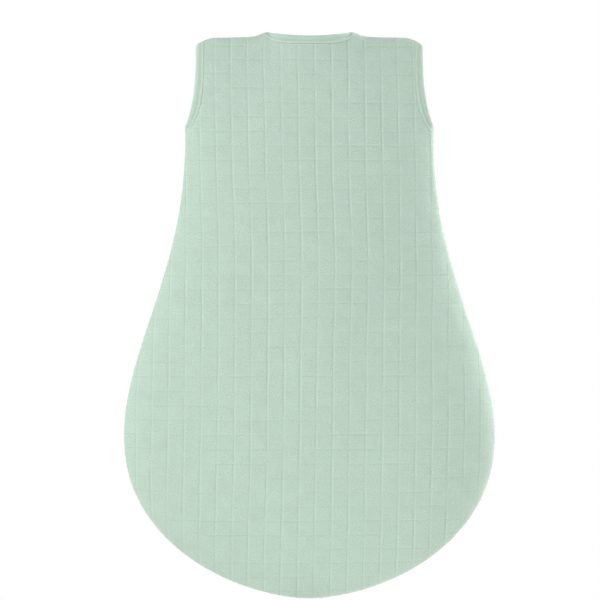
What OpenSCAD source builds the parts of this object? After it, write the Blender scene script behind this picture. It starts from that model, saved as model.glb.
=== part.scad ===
// Sleeveless baby sleeping bag, pear shaped, in double-gauze muslin.
// Frame: origin at the top of the shoulders on the side-seam plane, +Z towards the neck,
// +Y towards the zipped front, -Y towards the plain back, +X towards the wearer's right arm.
// Left and right are the wearer's. Every length is in millimetres.

/* [Size] */
// Length from the top of the neck binding to the bottom hem
bag_length = 700; // [680:10:720]
// Half width at the widest line, across the feet
hip_half = 228; // [215:1:235]
// Half width at the armpits
chest_half = 152.5; // [146:0.5:155]
// Half width at the ends of the shoulders
shoulder_half = 139.5; // [136:0.5:142]
// Half width of the neck opening
neck_half = 48.5; // [44:0.5:52]
// Drop of the neck edge at the centre front
front_drop = 58; // [54:1:62]
// Drop of the neck edge at the centre back
back_drop = 5.5; // [4:0.5:8]
// Depth of the armhole below the shoulders
armpit_drop = 118; // [114:0.5:122]

/* [Cloth] */
// Thickness of the outer gauze
outer_t = 0.8; // [0.6:0.1:1]
// Thickness of the lining
lining_t = 0.6; // [0.5:0.1:0.7]
// Width of the neck and armhole binding
bind_w = 9.5; // [8:0.5:10]

/* [Zip] */
// Distance between neighbouring teeth of one row
pitch = 3; // [2.8:0.1:3.2]
// Travel of the top slider
top_travel = 392; // [300:1:392]
// Travel of the bottom slider
bottom_travel = 130; // [60:1:130]

/* [Hidden] */

$fn = 32;
muslin = [0.73, 0.82, 0.76];
muslin_dark = [0.68, 0.78, 0.71];
zip_cloth = [0.70, 0.80, 0.74];
nylon = [0.76, 0.85, 0.79];
metal = [0.78, 0.79, 0.80];
label_white = [0.96, 0.96, 0.94];

// ---- outline of the bag laid flat, half width against height ----
hip_z = 498 * bag_length / 700;          // depth of the widest line below the top
foot = bag_length - hip_z;               // height of the rounded foot end
round_x = 1 / 0.575;                     // exponents of the foot end's superellipse
round_z = 2.2;
widen_power = 1.27;                      // how late the sides widen below the armpits
ridge = [59, -5.6];                        // a point of the straight shoulder line, x and z
ridge_slope = 1 / 38;
bump = [53, 11, 5.4];                    // where binding stiffens the line: middle x, spread and rise
corner_x = shoulder_half - 23;           // where the shoulder line starts to round off
corner_top = ridge[1] - ridge_slope * (corner_x - ridge[0]);
corner_power = 1.6;                      // exponent of the rounding, less than 2 for a slack corner
armhole_top = -20;                       // armhole edge where it crosses the shoulder line
seam_bottom = -armpit_drop - 8;          // armhole seam where it meets the side seam
seam_half = neck_half + bind_w + 0.5;    // half width of the neck seam at the shoulders
arm_seam_out = shoulder_half - bind_w;   // armhole seam where it crosses the shoulder line
meet_dome = 24;                          // rise of the dome over the neck opening

function clamp01(t) = min(1, max(0, t));
function smooth(t) = let (c = clamp01(t)) c * c * (3 - 2 * c);
function mix(a, b, t) = a + (b - a) * t;

// Half width of the side seam at height z, drawn in by inset.
function widen(z) = pow(clamp01((-z - armpit_drop) / (hip_z - armpit_drop)), widen_power);
function side_half(z, inset = 0) =
    -z < hip_z
        ? mix(chest_half, hip_half, smooth(widen(z))) - inset
        : (hip_half - inset) * pow(max(0, 1 - pow((-z - hip_z) / (foot - inset), round_z)), 1 / round_x);

// Armhole edge, and the seam that holds its binding, as points [x, z] for t from shoulder to armpit.
function arm_cut(t) = [mix(shoulder_half, chest_half, pow(t, 3)), mix(armhole_top, -armpit_drop, t)];
function arm_seam(t) =
    [mix(arm_seam_out, chest_half - 1.5, pow(t, 4.6)), mix(shoulder_top(arm_seam_out), seam_bottom, t)];
function arm_seam_t(z) =
    clamp01((z - shoulder_top(arm_seam_out)) / (seam_bottom - shoulder_top(arm_seam_out)));

// Height of the shoulder line, raised beside the neck where the binding stiffens it.
function shoulder_top(x) =
    let (a = abs(x), t = (a - corner_x) / (shoulder_half - corner_x))
    a > corner_x
        ? mix(armhole_top, corner_top, pow(max(0, 1 - pow(t, corner_power)), 1 / corner_power))
        : ridge[1] - ridge_slope * (a - ridge[0]) + bump[2] * exp(-pow((a - bump[0]) / bump[1], 2));

// Line where front and back would meet: the shoulder line, and a dome over the neck opening.
function meet_top(x) =
    abs(x) < neck_half
        ? shoulder_top(neck_half) + meet_dome * (1 - pow(x / neck_half, 2))
        : shoulder_top(x);

// Neck edge and neck seam at the back, heights against x.
function back_edge_z(x) = mix(-back_drop, shoulder_top(neck_half), pow(x / neck_half, 2));
function back_seam_z(x) = mix(-back_drop - bind_w - 0.4, shoulder_top(seam_half), pow(abs(x) / seam_half, 5));

// Neck edge and neck seam at the front, points [x, z] for an angle from centre front to shoulder.
function front_edge(a) = [neck_half * sin(a), mix(-front_drop, shoulder_top(neck_half), 1 - cos(a))];
function front_seam(a) = [seam_half * sin(a), mix(-front_drop - bind_w, shoulder_top(seam_half), 1 - cos(a))];

// ---- body of the bag, depth against the outline ----
zip_y = 26;                              // the front lies in this plane along the zip
back_chest = 26;                         // depth of the back behind the chest
back_foot = 50;                          // and behind the feet
deepen_from = 80;                        // the back deepens from this far below the top
deepen_over = 380;                       // over this height
back_power = 0.48;                       // how roundly the back turns over to the side seam
seam_y_hem = 24;                         // the hem seam sits this far towards the front
front_power = 6;                         // how squarely the front turns over to the side seam
back_roll = 110;                         // height over which the back rolls up to the shoulder line
front_roll = 80;
arm_gape = 20;                           // how far the armhole gapes
gape_power = 0.6;

function seam_y(z) = seam_y_hem * pow(max(0, -z + seam_bottom) / (bag_length + seam_bottom), 2);
function section_half(z) =
    z > -armpit_drop
        ? (let (t = clamp01((armhole_top - z) / (armpit_drop + armhole_top)))
            arm_cut(t)[0] + arm_gape * pow(sin(180 * t), gape_power))
        : side_half(z);
function fullness(x, z) =
    -z > hip_z
        ? min(1, pow(abs(x) / hip_half, round_x) + pow((-z - hip_z) / foot, round_z))
        : min(1, pow(abs(x) / section_half(z), round_x));
function roll(drop, height) = let (q = clamp01(drop / height)) sqrt(1 - pow(1 - q, 2));
function back_y(x, z) =
    seam_y(z) - mix(back_chest, back_foot, smooth((-z - deepen_from) / deepen_over))
        * pow(1 - fullness(x, z), back_power) * roll(meet_top(x) - z, back_roll);
function front_y(x, z) =
    seam_y(z) + (zip_y - seam_y(z))
        * sqrt(1 - pow(fullness(x, z), front_power)) * roll(meet_top(x) - z, front_roll);
function back_point(x, z) = [x, back_y(x, z), z];
function front_point(x, z) = [x, front_y(x, z), z];

// ---- sheets of cloth: a grid of points given thickness ----
function unit(v) = v / max(norm(v), 1e-6);
function grid_normal(p, i, j, loop) =
    let (
        rows = len(p), cols = len(p[0]),
        up = loop ? (i + rows - 1) % rows : max(i - 1, 0),
        down = loop ? (i + 1) % rows : min(i + 1, rows - 1)
    )
    unit(cross(p[i][min(j + 1, cols - 1)] - p[i][max(j - 1, 0)], p[down][j] - p[up][j]));
function moved(p, by, loop = false) =
    [for (i = [0:len(p) - 1]) [for (j = [0:len(p[0]) - 1]) p[i][j] + by * grid_normal(p, i, j, loop)]];
function joined(lists) = [for (l = lists) for (e = l) e];

// Solid between two grids of the same size; face lies on the side that the grid normals point to.
module slab(face, rear, loop = false) {
    rows = len(face);
    cols = len(face[0]);
    spans = loop ? rows : rows - 1;
    function at(i, j, layer) = layer * rows * cols + (i % rows) * cols + j;
    sheet_faces = [
        for (i = [0:spans - 1]) for (j = [0:cols - 2])
            each [
                [at(i, j, 0), at(i + 1, j, 0), at(i + 1, j + 1, 0)],
                [at(i, j, 0), at(i + 1, j + 1, 0), at(i, j + 1, 0)],
                [at(i, j, 1), at(i + 1, j + 1, 1), at(i + 1, j, 1)],
                [at(i, j, 1), at(i, j + 1, 1), at(i + 1, j + 1, 1)],
            ]
    ];
    side_faces = [
        for (i = [0:spans - 1])
            each [
                [at(i + 1, 0, 0), at(i, 0, 0), at(i, 0, 1)],
                [at(i + 1, 0, 0), at(i, 0, 1), at(i + 1, 0, 1)],
                [at(i, cols - 1, 0), at(i + 1, cols - 1, 0), at(i + 1, cols - 1, 1)],
                [at(i, cols - 1, 0), at(i + 1, cols - 1, 1), at(i, cols - 1, 1)],
            ]
    ];
    end_faces = loop ? [] : [
        for (j = [0:cols - 2])
            each [
                [at(0, j, 0), at(0, j + 1, 0), at(0, j + 1, 1)],
                [at(0, j, 0), at(0, j + 1, 1), at(0, j, 1)],
                [at(rows - 1, j + 1, 0), at(rows - 1, j, 0), at(rows - 1, j, 1)],
                [at(rows - 1, j + 1, 0), at(rows - 1, j, 1), at(rows - 1, j + 1, 1)],
            ]
    ];
    polyhedron(concat(joined(face), joined(rear)), concat(sheet_faces, side_faces, end_faces), convexity = 6);
}

// Cloth between two depths below a surface. Grids run left to right and downwards, so their
// normals point to +Y: into the bag on the back (side = 1), out of it on the front (side = -1).
module cloth(p, side, near, far, loop = false) {
    if (side > 0) slab(moved(p, far, loop), moved(p, near, loop), loop);
    else slab(moved(p, -near, loop), moved(p, -far, loop), loop);
}

layer_gap = 0.25;                        // air between outer cloth and lining
lining_in = outer_t + layer_gap;
lining_out = lining_in + lining_t;
edge_angle = 88.6;                       // the sheets stop just short of the seam
seam_gap = 0.3;

// Rows of a panel, as drops below its top: closest where the cloth turns over at shoulders and foot.
level_drop = 110;                        // rows follow the panel's top edge above this, and are level below
roll_steps = [0.3, 1.5, 5, 11, 20, 32, 48, 68, 90];
side_steps = [for (k = [0:10]) mix(level_drop, hip_z, k / 10)];
foot_steps = [for (k = [1:12]) hip_z + foot * pow(sin(edge_angle * k / 12), 2 / round_z)];
row_drops = concat(roll_steps, side_steps, foot_steps);

function row_z(drop, top) = -drop + top * max(0, 1 - drop / level_drop);
function row_level(drop) = row_z(drop, shoulder_top(arm_seam_out));
function panel_half(z) = z > seam_bottom ? arm_seam(arm_seam_t(z))[0] - seam_gap : side_half(z);

// ---- back ----
function back_top(x) = (abs(x) < seam_half ? back_seam_z(x) : shoulder_top(x)) - seam_gap;
function back_grid() = [
    for (d = row_drops)
        let (w = panel_half(row_level(d)))
        [for (k = [-12:12])
            let (x = w * sin(edge_angle * k / 12), z = row_z(d, back_top(x)))
            back_point(x, z)]
];
module back_outer() { color(muslin) cloth(back_grid(), 1, 0, outer_t); }
module back_lining() { color(muslin_dark) cloth(back_grid(), 1, lining_in, lining_out); }

// ---- front: a fixed panel and a lapel on each side of the zip ----
top_slider_z = -76;                      // middle of the top slider when the zip is closed
fold_top = [40, -49];                    // the lapel folds along the line from here
fold_foot = [0, top_slider_z - top_travel - 12];   // to here, just below the slider's lowest place
fold_gap = 1;                            // between a lapel and its panel, each side of the fold
cloth_x = 9;                             // the outer cloth stops this far from the zip's middle
lining_x = 17.5;                         // and the lining here, behind the zip tape
shoulder_peak = shoulder_top(bump[0]);
lapel_foot = [-350, -258];               // where the lapel's outer cloth and lining run out
function fold_x(z) = mix(fold_foot[0], fold_top[0], (z - fold_foot[1]) / (fold_top[1] - fold_foot[1]));
function neck_seam_x(z) =
    let (
        top = shoulder_top(seam_half),
        down = clamp01((top - z) / (front_drop + bind_w + top))
    )
    seam_half * sqrt(1 - pow(down, 2));
function fixed_from(z, edge) =
    z > fold_top[1] ? max(neck_seam_x(z) + seam_gap, fold_x(z) + fold_gap) : max(fold_x(z) + fold_gap, edge);

function front_grid(edge) = [
    for (d = row_drops)
        let (
            w = panel_half(row_level(d)),
            from = asin(min(1, fixed_from(row_z(d, shoulder_peak), edge) / w))
        )
        if (w > edge + 4)
            [for (k = [0:10])
                let (x = w * sin(mix(from, edge_angle, k / 10)), z = row_z(d, shoulder_top(x) - seam_gap))
                front_point(x, z)]
];
function lapel_grid(edge, low) = [
    for (i = [0:14])
        [for (k = [0:4])
            let (
                level = mix(fold_top[1] - 4, low, i / 14),
                x = mix(edge, fold_x(level) - fold_gap, k / 4),
                top = front_seam(asin(x / seam_half))[1] - seam_gap
            )
            front_point(x, mix(top, low, i / 14))]
];
module front_right_outer() {
    color(muslin) cloth(front_grid(cloth_x), -1, 0, outer_t);
}
module front_right_lining() {
    color(muslin_dark) cloth(front_grid(lining_x), -1, lining_in, lining_out);
}
module lapel_right_outer() {
    color(muslin) cloth(lapel_grid(cloth_x, lapel_foot[0]), -1, 0, outer_t);
}
module lapel_right_lining() {
    color(muslin_dark) cloth(lapel_grid(lining_x, lapel_foot[1]), -1, lining_in, lining_out);
}
module mirrored() { mirror([1, 0, 0]) children(); }

// ---- bindings: tape folded over the raw edges of both layers ----
bind_out = -0.8;                         // the tape stands this far proud of the cloth
bind_in = lining_out + 0.8;
bind_cols = [0, 0.5, 1];                 // across the tape, from the bound edge to the seam
fold_angles = [59, 43];                  // where the lapel's fold crosses the neck edge and the neck seam
fold_clear = 1.2;                        // degrees of the neck left open at each side of the fold
shoulder_angle = 88;                     // the neck's front and back halves join here
arm_angles = [4, 176];                   // start and end of each half of the armhole
zip_clear_x = 5.8;                       // the binding ends stand beside the chain

function front_band(a, s) = let (p = mix(front_edge(a), front_seam(a), s)) front_point(p[0], p[1]);
function back_band(u, s) =
    let (
        x = mix(neck_half, seam_half, s) * u,
        z = mix(back_edge_z(neck_half * u), back_seam_z(seam_half * u), s)
    )
    back_point(x, z);
function fold_angle(s) = mix(fold_angles[0], fold_angles[1], s);
function front_row(t) =
    [for (s = bind_cols) front_band(mix(fold_angle(s) + fold_clear, shoulder_angle, t), s)];
function neck_rows() = concat(
    [for (i = [0:8]) front_row(i / 8)],
    [for (i = [0:24]) [for (s = bind_cols) back_band(sin(mix(shoulder_angle, -shoulder_angle, i / 24)), s)]],
    [for (i = [8:-1:0]) [for (p = front_row(i / 8)) [-p[0], p[1], p[2]]]]
);
module neck_binding() {
    color(muslin_dark) slab(moved(neck_rows(), bind_in), moved(neck_rows(), bind_out));
}
module neck_binding_end_right() {
    rows = [
        for (i = [0:10])
            [for (s = bind_cols)
                let (first = asin(zip_clear_x / mix(neck_half, seam_half, s)))
                front_band(mix(fold_angle(s) - fold_clear, first, i / 10), s)]
    ];
    color(muslin_dark) slab(moved(rows, -bind_out), moved(rows, -bind_in));
}
function arm_row(i) =
    let (t = (1 + cos(mix(arm_angles[0], arm_angles[1], i / 18))) / 2)
    [for (s = bind_cols) mix(arm_cut(t), arm_seam(t), s)];
function arm_rows() = concat(
    [for (i = [0:18]) [for (p = arm_row(i)) back_point(p[0], p[1])]],
    [for (i = [18:-1:0]) [for (p = arm_row(i)) front_point(p[0], p[1])]]
);
module armhole_binding_right() {
    color(muslin_dark) slab(moved(arm_rows(), -bind_out, true), moved(arm_rows(), -bind_in, true), true);
}

// ---- seam allowances, overlocked edges that stand inside the bag ----
allowance = 8;
allowance_t = 1.2;
allowance_set = 2.5;                     // the allowance lies this far to the back of the seam
hem_clear = lining_out + 1.4;            // from the side seam to the near edge of its allowance
shoulder_clear = lining_out + 0.5;
function hem_path(inset) = concat(
    [for (k = [0:12]) let (z = mix(seam_bottom - 4, -hip_z, k / 12)) [side_half(z, inset), z]],
    [for (k = [1:16]) let (a = 90 * k / 16)
        [(hip_half - inset) * pow(cos(a), 2 / round_x), -hip_z - (foot - inset) * pow(sin(a), 2 / round_z)]]
);
module hem_seam() {
    insets = [hem_clear, hem_clear + allowance / 2, hem_clear + allowance];
    paths = [for (i = insets) hem_path(i)];
    n = len(paths[0]);
    rows = concat(
        [for (k = [0:n - 1]) [for (p = paths) [-p[k][0], seam_y(p[k][1]) - allowance_set, p[k][1]]]],
        [for (k = [n - 2:-1:0]) [for (p = paths) [p[k][0], seam_y(p[k][1]) - allowance_set, p[k][1]]]]
    );
    color(muslin_dark) slab(moved(rows, allowance_t / 2), moved(rows, -allowance_t / 2));
}
module shoulder_seam_right() {
    rows = [
        for (k = [0:8])
            let (x = mix(seam_half + 3, corner_x - 2, k / 8))
            [for (s = [0, 0.5, 1]) [x, 0, shoulder_top(x) - shoulder_clear - allowance * s]]
    ];
    color(muslin_dark) slab(moved(rows, allowance_t / 2), moved(rows, -allowance_t / 2));
}

// ---- zip ----
tape_y = zip_y - 1.7;                    // middle plane of tape and teeth
tape_t = 0.6;
tape_in = 5.7;                           // the tape runs between these distances from the middle
tape_out = 17;
tape_top = [-68.6, -67.4];               // its top end, sewn below the neck seam
tape_bend = [-300, -405];                // the lapel's length of tape narrows between these heights
tooth_t = 2.6;
tooth_z = 1.3;
tooth_reach = 1.1;                       // a tooth crosses the middle line by this much
tooth_out = 3.1;
tooth_neck = 2.2;                        // the gaps between teeth end here
cord_in = 2.6;
chain_out = 5.5;
bottom_slider_z = -655;
top_stop_z = -66;
bottom_stop_z = -664;
zip_top = -64;
zip_foot = -680;
tape_foot = -698;                        // below the chain both tapes meet and run on to the foot seam
tape_meet = 0.3;                         // half the slit between them there
tape_step = 6;                           // their outer strips, under the front's cloth, end sooner

module plate_y(points, y, t) {
    translate([0, y + t / 2, 0]) rotate([90, 0, 0]) linear_extrude(t) polygon(points);
}
function fold_z(x) = mix(fold_foot[1], fold_top[1], (x - fold_foot[0]) / (fold_top[0] - fold_foot[0]));

module zip_tape_right_upper() {
    color(zip_cloth) plate_y([
        [tape_in, tape_top[0]], [tape_out, tape_top[1]], [tape_out, tape_bend[0]],
        for (z = tape_bend) [fold_x(z) - fold_gap, z],
        [tape_in, tape_bend[1]],
    ], tape_y, tape_t);
}
module zip_tape_right_lower() {
    color(zip_cloth) plate_y([
        [tape_in, zip_foot - fold_gap], [tape_meet, zip_foot - fold_gap], [tape_meet, tape_foot],
        [cloth_x - fold_gap, tape_foot], [cloth_x - fold_gap, zip_foot - tape_step],
        [tape_out, zip_foot - tape_step],
        [tape_out, fold_z(tape_out - fold_gap)], [tape_in, fold_z(tape_in - fold_gap)],
    ], tape_y, tape_t);
}

// One row of moulded teeth on the corded edge of its tape; first is the height of the highest tooth.
module teeth_row(first, last, cord_top, cord_foot) {
    count = floor((first - last - tooth_z / 2) / pitch);
    spine = [[tooth_out, first - count * pitch - tooth_z / 2], [tooth_out, first + tooth_z / 2]];
    comb = [
        for (k = [0:count])
            let (z = first - k * pitch)
            each [
                [-tooth_reach, z + tooth_z / 2], [-tooth_reach, z - tooth_z / 2],
                if (k < count) each [[tooth_neck, z - tooth_z / 2], [tooth_neck, z - pitch + tooth_z / 2]],
            ]
    ];
    cord = [[cord_in, cord_top], [chain_out, cord_top], [chain_out, cord_foot], [cord_in, cord_foot]];
    color(nylon) {
        plate_y(concat(spine, comb), tape_y, tooth_t);
        plate_y(cord, tape_y, tape_t);
    }
}
upper_first = top_slider_z - 1.5;        // the rows start below the slider's wedge
split_z = fold_foot[1];
lower_last = bottom_slider_z - 0.5;
split_gap = 0.15;                        // from the split to each end of the cord
upper_last = split_z + 0.5;
lower_first = upper_first - (floor((upper_first - split_z) / pitch) + 1) * pitch;
module teeth_upper(shift) {
    teeth_row(upper_first - shift, upper_last, zip_top, split_z + split_gap);
}
module teeth_lower(shift) {
    teeth_row(lower_first - shift, lower_last, split_z - split_gap, zip_foot);
}
module zip_teeth_right_upper() { teeth_upper(0); }
module zip_teeth_right_lower() { teeth_lower(0); }
module zip_teeth_left_upper() { mirrored() teeth_upper(pitch / 2); }
module zip_teeth_left_lower() { mirrored() teeth_lower(pitch / 2); }

stop_size = [2, 1.3, 3.4];
stop_at = [cord_in + 0.5, tape_y + tape_t / 2 + 0.05];
module stop_right(z) {
    color(nylon) translate([stop_at[0], stop_at[1], z - stop_size[2]]) cube(stop_size);
}
module zip_top_stop_right() { stop_right(top_stop_z); }
module zip_bottom_stops() {
    stop_right(bottom_stop_z);
    mirrored() stop_right(bottom_stop_z);
}

// Strip of cloth behind the zip, sewn to its left tape, that keeps the teeth off the skin.
guard_y = 20.8;
guard_t = 1;
guard_x = [-15, 5];
guard_z = [-640, -70];
module guard(z_top, z_foot) {
    color(muslin_dark) translate([guard_x[0], guard_y - guard_t / 2, z_foot])
        cube([guard_x[1] - guard_x[0], guard_t, z_top - z_foot]);
}
module zip_guard_upper() { guard(guard_z[1], split_z + split_gap); }
module zip_guard_lower() { guard(split_z - split_gap, guard_z[0]); }

// Folded tab that covers the head of the closed zip; it hinges on its left edge.
chin_hinge = [-9.5, 27.95];              // x and y of its stitched edge
chin_w = 18;
chin_t = 1.1;
chin_z = [-72.4, -58];
module chin_guard() {
    color(muslin) translate([chin_hinge[0], chin_hinge[1] - chin_t / 2, chin_z[0]])
        cube([chin_w, chin_t, chin_z[1] - chin_z[0]]);
}

// ---- sliders: body, bridge with its pin, sprung lock, and pull tab ----
// Drawn about the slider's own middle, with the wedge end towards +Z.
wing_t = 1;
wing_outline = [[-3.9, -6], [3.9, -6], [4.9, -1], [5, 6], [-5, 6], [-4.9, -1]];
slot_t = 0.8;                            // the tapes run through this slot in the side walls
channel_t = tooth_t + 0.4;
wall_x = 3.35;
wall_size = [0.6, (channel_t - slot_t) / 2 + 0.5, 9];
wall_foot = -5.2;
wedge_outline = [[-0.4, 1.6], [0.4, 1.6], [1.7, 5.6], [-1.7, 5.6]];
bridge_y = channel_t / 2 + wing_t;       // outer face of the front plate
pin_y = bridge_y + 2;
pin_r = 0.7;
ear_x = 2.9;                             // outer face of the bridge's ears
ear_t = 0.8;
ear_r = 1.6;
ear_w = 4;
lock_z = -3.2;                           // the lock's point goes through a hole here
lock_r = 0.5;
lock_hole_r = 0.8;
lock_leaf = [1.4, 0.3, 6.5];
lock_leaf_foot = -4;
tab_length = 26;
tab_t = 1.2;
tab_eye_r = 1.35;
tab_neck = 2.8;
tab_neck_end = -6;
tab_hole = [1.8, -tab_length + 6.5];     // radius and height of the hole in the tab
tab_outline = [
    [-1.4, -5], [1.4, -5], [3.4, -9], [3.6, -tab_length + 3], [2.4, -tab_length],
    [-2.4, -tab_length], [-3.6, -tab_length + 3], [-3.4, -9],
];

module at_slider(z, up) {
    translate([0, tape_y, z]) mirror([0, 0, up ? 0 : 1]) children();
}
module along_x(y, z, r, length) {
    translate([-length / 2, y, z]) rotate([0, 90, 0]) cylinder(r = r, h = length);
}
module along_y(y, z, r, length) {
    translate([0, y, z]) rotate([-90, 0, 0]) cylinder(r = r, h = length);
}
module slider_body() {
    color(metal) difference() {
        union() {
            for (s = [-1, 1]) plate_y(wing_outline, s * (channel_t + wing_t) / 2, wing_t);
            for (y = [slot_t / 2, -channel_t / 2 - 0.5])
                for (m = [0, 1])
                    mirror([m, 0, 0]) translate([wall_x, y, wall_foot]) cube(wall_size);
            plate_y(wedge_outline, 0, channel_t + wing_t);
        }
        along_y(channel_t / 2 - 0.1, lock_z, lock_hole_r, wing_t + 0.2);
    }
}
module slider_bridge() {
    foot_y = bridge_y + 0.02;
    color(metal) {
        for (m = [0, 1])
            mirror([m, 0, 0]) {
                translate([ear_x - ear_t, foot_y, -ear_w / 2]) cube([ear_t, pin_y - foot_y, ear_w]);
                translate([ear_x - ear_t / 2, 0, 0]) along_x(pin_y, 0, ear_r, ear_t);
            }
        along_x(pin_y, 0, pin_r, 2 * ear_x);
    }
}
module slider_lock() {
    color(metal) {
        translate([-lock_leaf[0] / 2, bridge_y + 0.1, lock_leaf_foot]) cube(lock_leaf);
        along_y(channel_t / 2 + 0.1, lock_z, lock_r, wing_t + 0.2);
    }
}
module pull_tab() {
    // The tab hangs from the pin whichever way round the slider runs.
    color(metal) difference() {
        union() {
            along_x(pin_y, 0, tab_eye_r, tab_neck);
            translate([-tab_neck / 2, pin_y - tab_t / 2, tab_neck_end])
                cube([tab_neck, tab_t, -tab_neck_end]);
            plate_y(tab_outline, pin_y, tab_t);
        }
        along_x(pin_y, 0, pin_r + 0.1, tab_neck + 1.2);
        along_y(pin_y - 1, tab_hole[1], tab_hole[0], 2);
    }
}
module top_slider_body() { at_slider(top_slider_z, true) slider_body(); }
module top_slider_bridge() { at_slider(top_slider_z, true) slider_bridge(); }
module top_slider_lock() { at_slider(top_slider_z, true) slider_lock(); }
module top_pull_tab() { at_slider(top_slider_z, true) pull_tab(); }
module bottom_slider_body() { at_slider(bottom_slider_z, false) slider_body(); }
module bottom_slider_bridge() { at_slider(bottom_slider_z, false) slider_bridge(); }
module bottom_slider_lock() { at_slider(bottom_slider_z, false) slider_lock(); }
module bottom_pull_tab() { at_slider(bottom_slider_z, true) pull_tab(); }

// ---- loop and labels inside the back of the neck, and the care label in the side seam ----
loop_hinge = [-16.8, -17.5];             // y and z of the stitching that both hang from
loop_half = 16;
loop_tape = 6;
loop_drop = 38;
loop_t = 1;
label_size = [16, 0.5, 17];
module hanger_loop() {
    inner = loop_half - loop_tape;
    color(zip_cloth) translate([0, loop_hinge[0], loop_hinge[1]]) rotate([90, 0, 0])
        linear_extrude(loop_t, center = true) difference() {
            translate([-loop_half, -loop_drop]) square([2 * loop_half, loop_drop]);
            translate([-inner, -loop_drop + loop_tape]) square([2 * inner, loop_drop]);
        }
}
module size_label() {
    color(label_white)
        translate([-label_size[0] / 2, loop_hinge[0] - label_size[1] / 2, loop_hinge[1] - label_size[2]])
            cube(label_size);
}
care_z = -340;                           // height of its middle
care_h = 42;
care_w = 28;
care_t = 0.4;
care_inset = hem_clear + allowance + 0.8;
care_lean = atan((side_half(care_z - care_h / 2) - side_half(care_z + care_h / 2)) / care_h);
module care_label() {
    color(label_white)
        translate([-side_half(care_z) + care_inset, seam_y(care_z) - allowance_set, care_z])
            rotate([0, care_lean, 0]) translate([0, -care_t / 2, -care_h / 2]) cube([care_w, care_t, care_h]);
}

back_outer();
back_lining();
front_right_outer();
mirrored() front_right_outer();  // front_left_outer
front_right_lining();
mirrored() front_right_lining();  // front_left_lining
lapel_right_outer();
mirrored() lapel_right_outer();  // lapel_left_outer
lapel_right_lining();
mirrored() lapel_right_lining();  // lapel_left_lining
neck_binding();
neck_binding_end_right();
mirrored() neck_binding_end_right();  // neck_binding_end_left
armhole_binding_right();
mirrored() armhole_binding_right();  // armhole_binding_left
hem_seam();
shoulder_seam_right();
mirrored() shoulder_seam_right();  // shoulder_seam_left
zip_tape_right_upper();
mirrored() zip_tape_right_upper();  // zip_tape_left_upper
zip_tape_right_lower();
mirrored() zip_tape_right_lower();  // zip_tape_left_lower
zip_teeth_right_upper();
zip_teeth_left_upper();
zip_teeth_right_lower();
zip_teeth_left_lower();
zip_top_stop_right();
mirrored() zip_top_stop_right();  // zip_top_stop_left
zip_bottom_stops();
zip_guard_upper();
zip_guard_lower();
chin_guard();
top_slider_body();
top_slider_bridge();
top_slider_lock();
top_pull_tab();
bottom_slider_body();
bottom_slider_bridge();
bottom_slider_lock();
bottom_pull_tab();
hanger_loop();
size_label();
care_label();
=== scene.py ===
"""Looks of a muslin baby sleeping bag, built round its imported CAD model.

Shapes are worked out in millimetres, in the CAD model's own frame, and become metres as each piece is made.
Left and right are the wearer's: right is +X, the back is -Y and the zipped front is +Y.
"""

import math

import bpy
import numpy as np
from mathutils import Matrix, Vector
from mathutils.bvhtree import BVHTree
from mathutils.kdtree import KDTree


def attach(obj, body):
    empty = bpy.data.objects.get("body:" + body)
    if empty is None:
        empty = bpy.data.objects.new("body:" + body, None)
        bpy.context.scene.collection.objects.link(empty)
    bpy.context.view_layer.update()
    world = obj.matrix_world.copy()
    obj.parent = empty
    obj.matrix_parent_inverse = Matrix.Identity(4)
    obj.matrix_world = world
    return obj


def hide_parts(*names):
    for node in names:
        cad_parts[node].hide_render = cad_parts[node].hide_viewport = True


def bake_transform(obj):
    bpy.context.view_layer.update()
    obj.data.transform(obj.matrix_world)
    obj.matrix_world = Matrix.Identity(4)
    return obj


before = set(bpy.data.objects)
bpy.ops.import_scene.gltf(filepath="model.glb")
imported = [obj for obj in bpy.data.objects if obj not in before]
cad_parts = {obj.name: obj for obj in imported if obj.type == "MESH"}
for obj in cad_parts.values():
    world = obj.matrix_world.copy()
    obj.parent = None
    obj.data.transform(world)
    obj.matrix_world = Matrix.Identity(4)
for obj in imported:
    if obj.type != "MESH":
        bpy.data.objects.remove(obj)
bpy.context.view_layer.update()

MM = 0.001
SIDES = ((1, "right"), (-1, "left"))

# ---------------------------------------------------------------- the bag's own dimensions, millimetres
BAG_LENGTH = 700.0
HIP_HALF, CHEST_HALF, SHOULDER_HALF, NECK_HALF = 228.0, 152.5, 139.5, 48.5
FRONT_DROP, BACK_DROP, ARMPIT_DROP = 58.0, 7.0, 118.0
BIND_W = 9.5
HIP_Z = 498.0                       # depth of the widest line below the top
HIP_EASE = 1.27                     # how late the sides widen towards it
FOOT = BAG_LENGTH - HIP_Z
ROUND_X, ROUND_Z = 1 / 0.575, 2.2   # exponents of the foot end's superellipse

# shoulder line: an even slope, a hump beside the neck, and a rounded corner at the armhole
SLOPE_Z, SLOPE_X, SLOPE_RUN = -7.3, 59, 38
HUMP_HIGH, HUMP_X, HUMP_HALF = 4.7, 53, 11
CORNER_X, CORNER_POWER = SHOULDER_HALF - 23, 1.6
CORNER_TOP = SLOPE_Z - (CORNER_X - SLOPE_X) / SLOPE_RUN
NECK_DOME = 24                      # height of the dome over the neck opening

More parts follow.
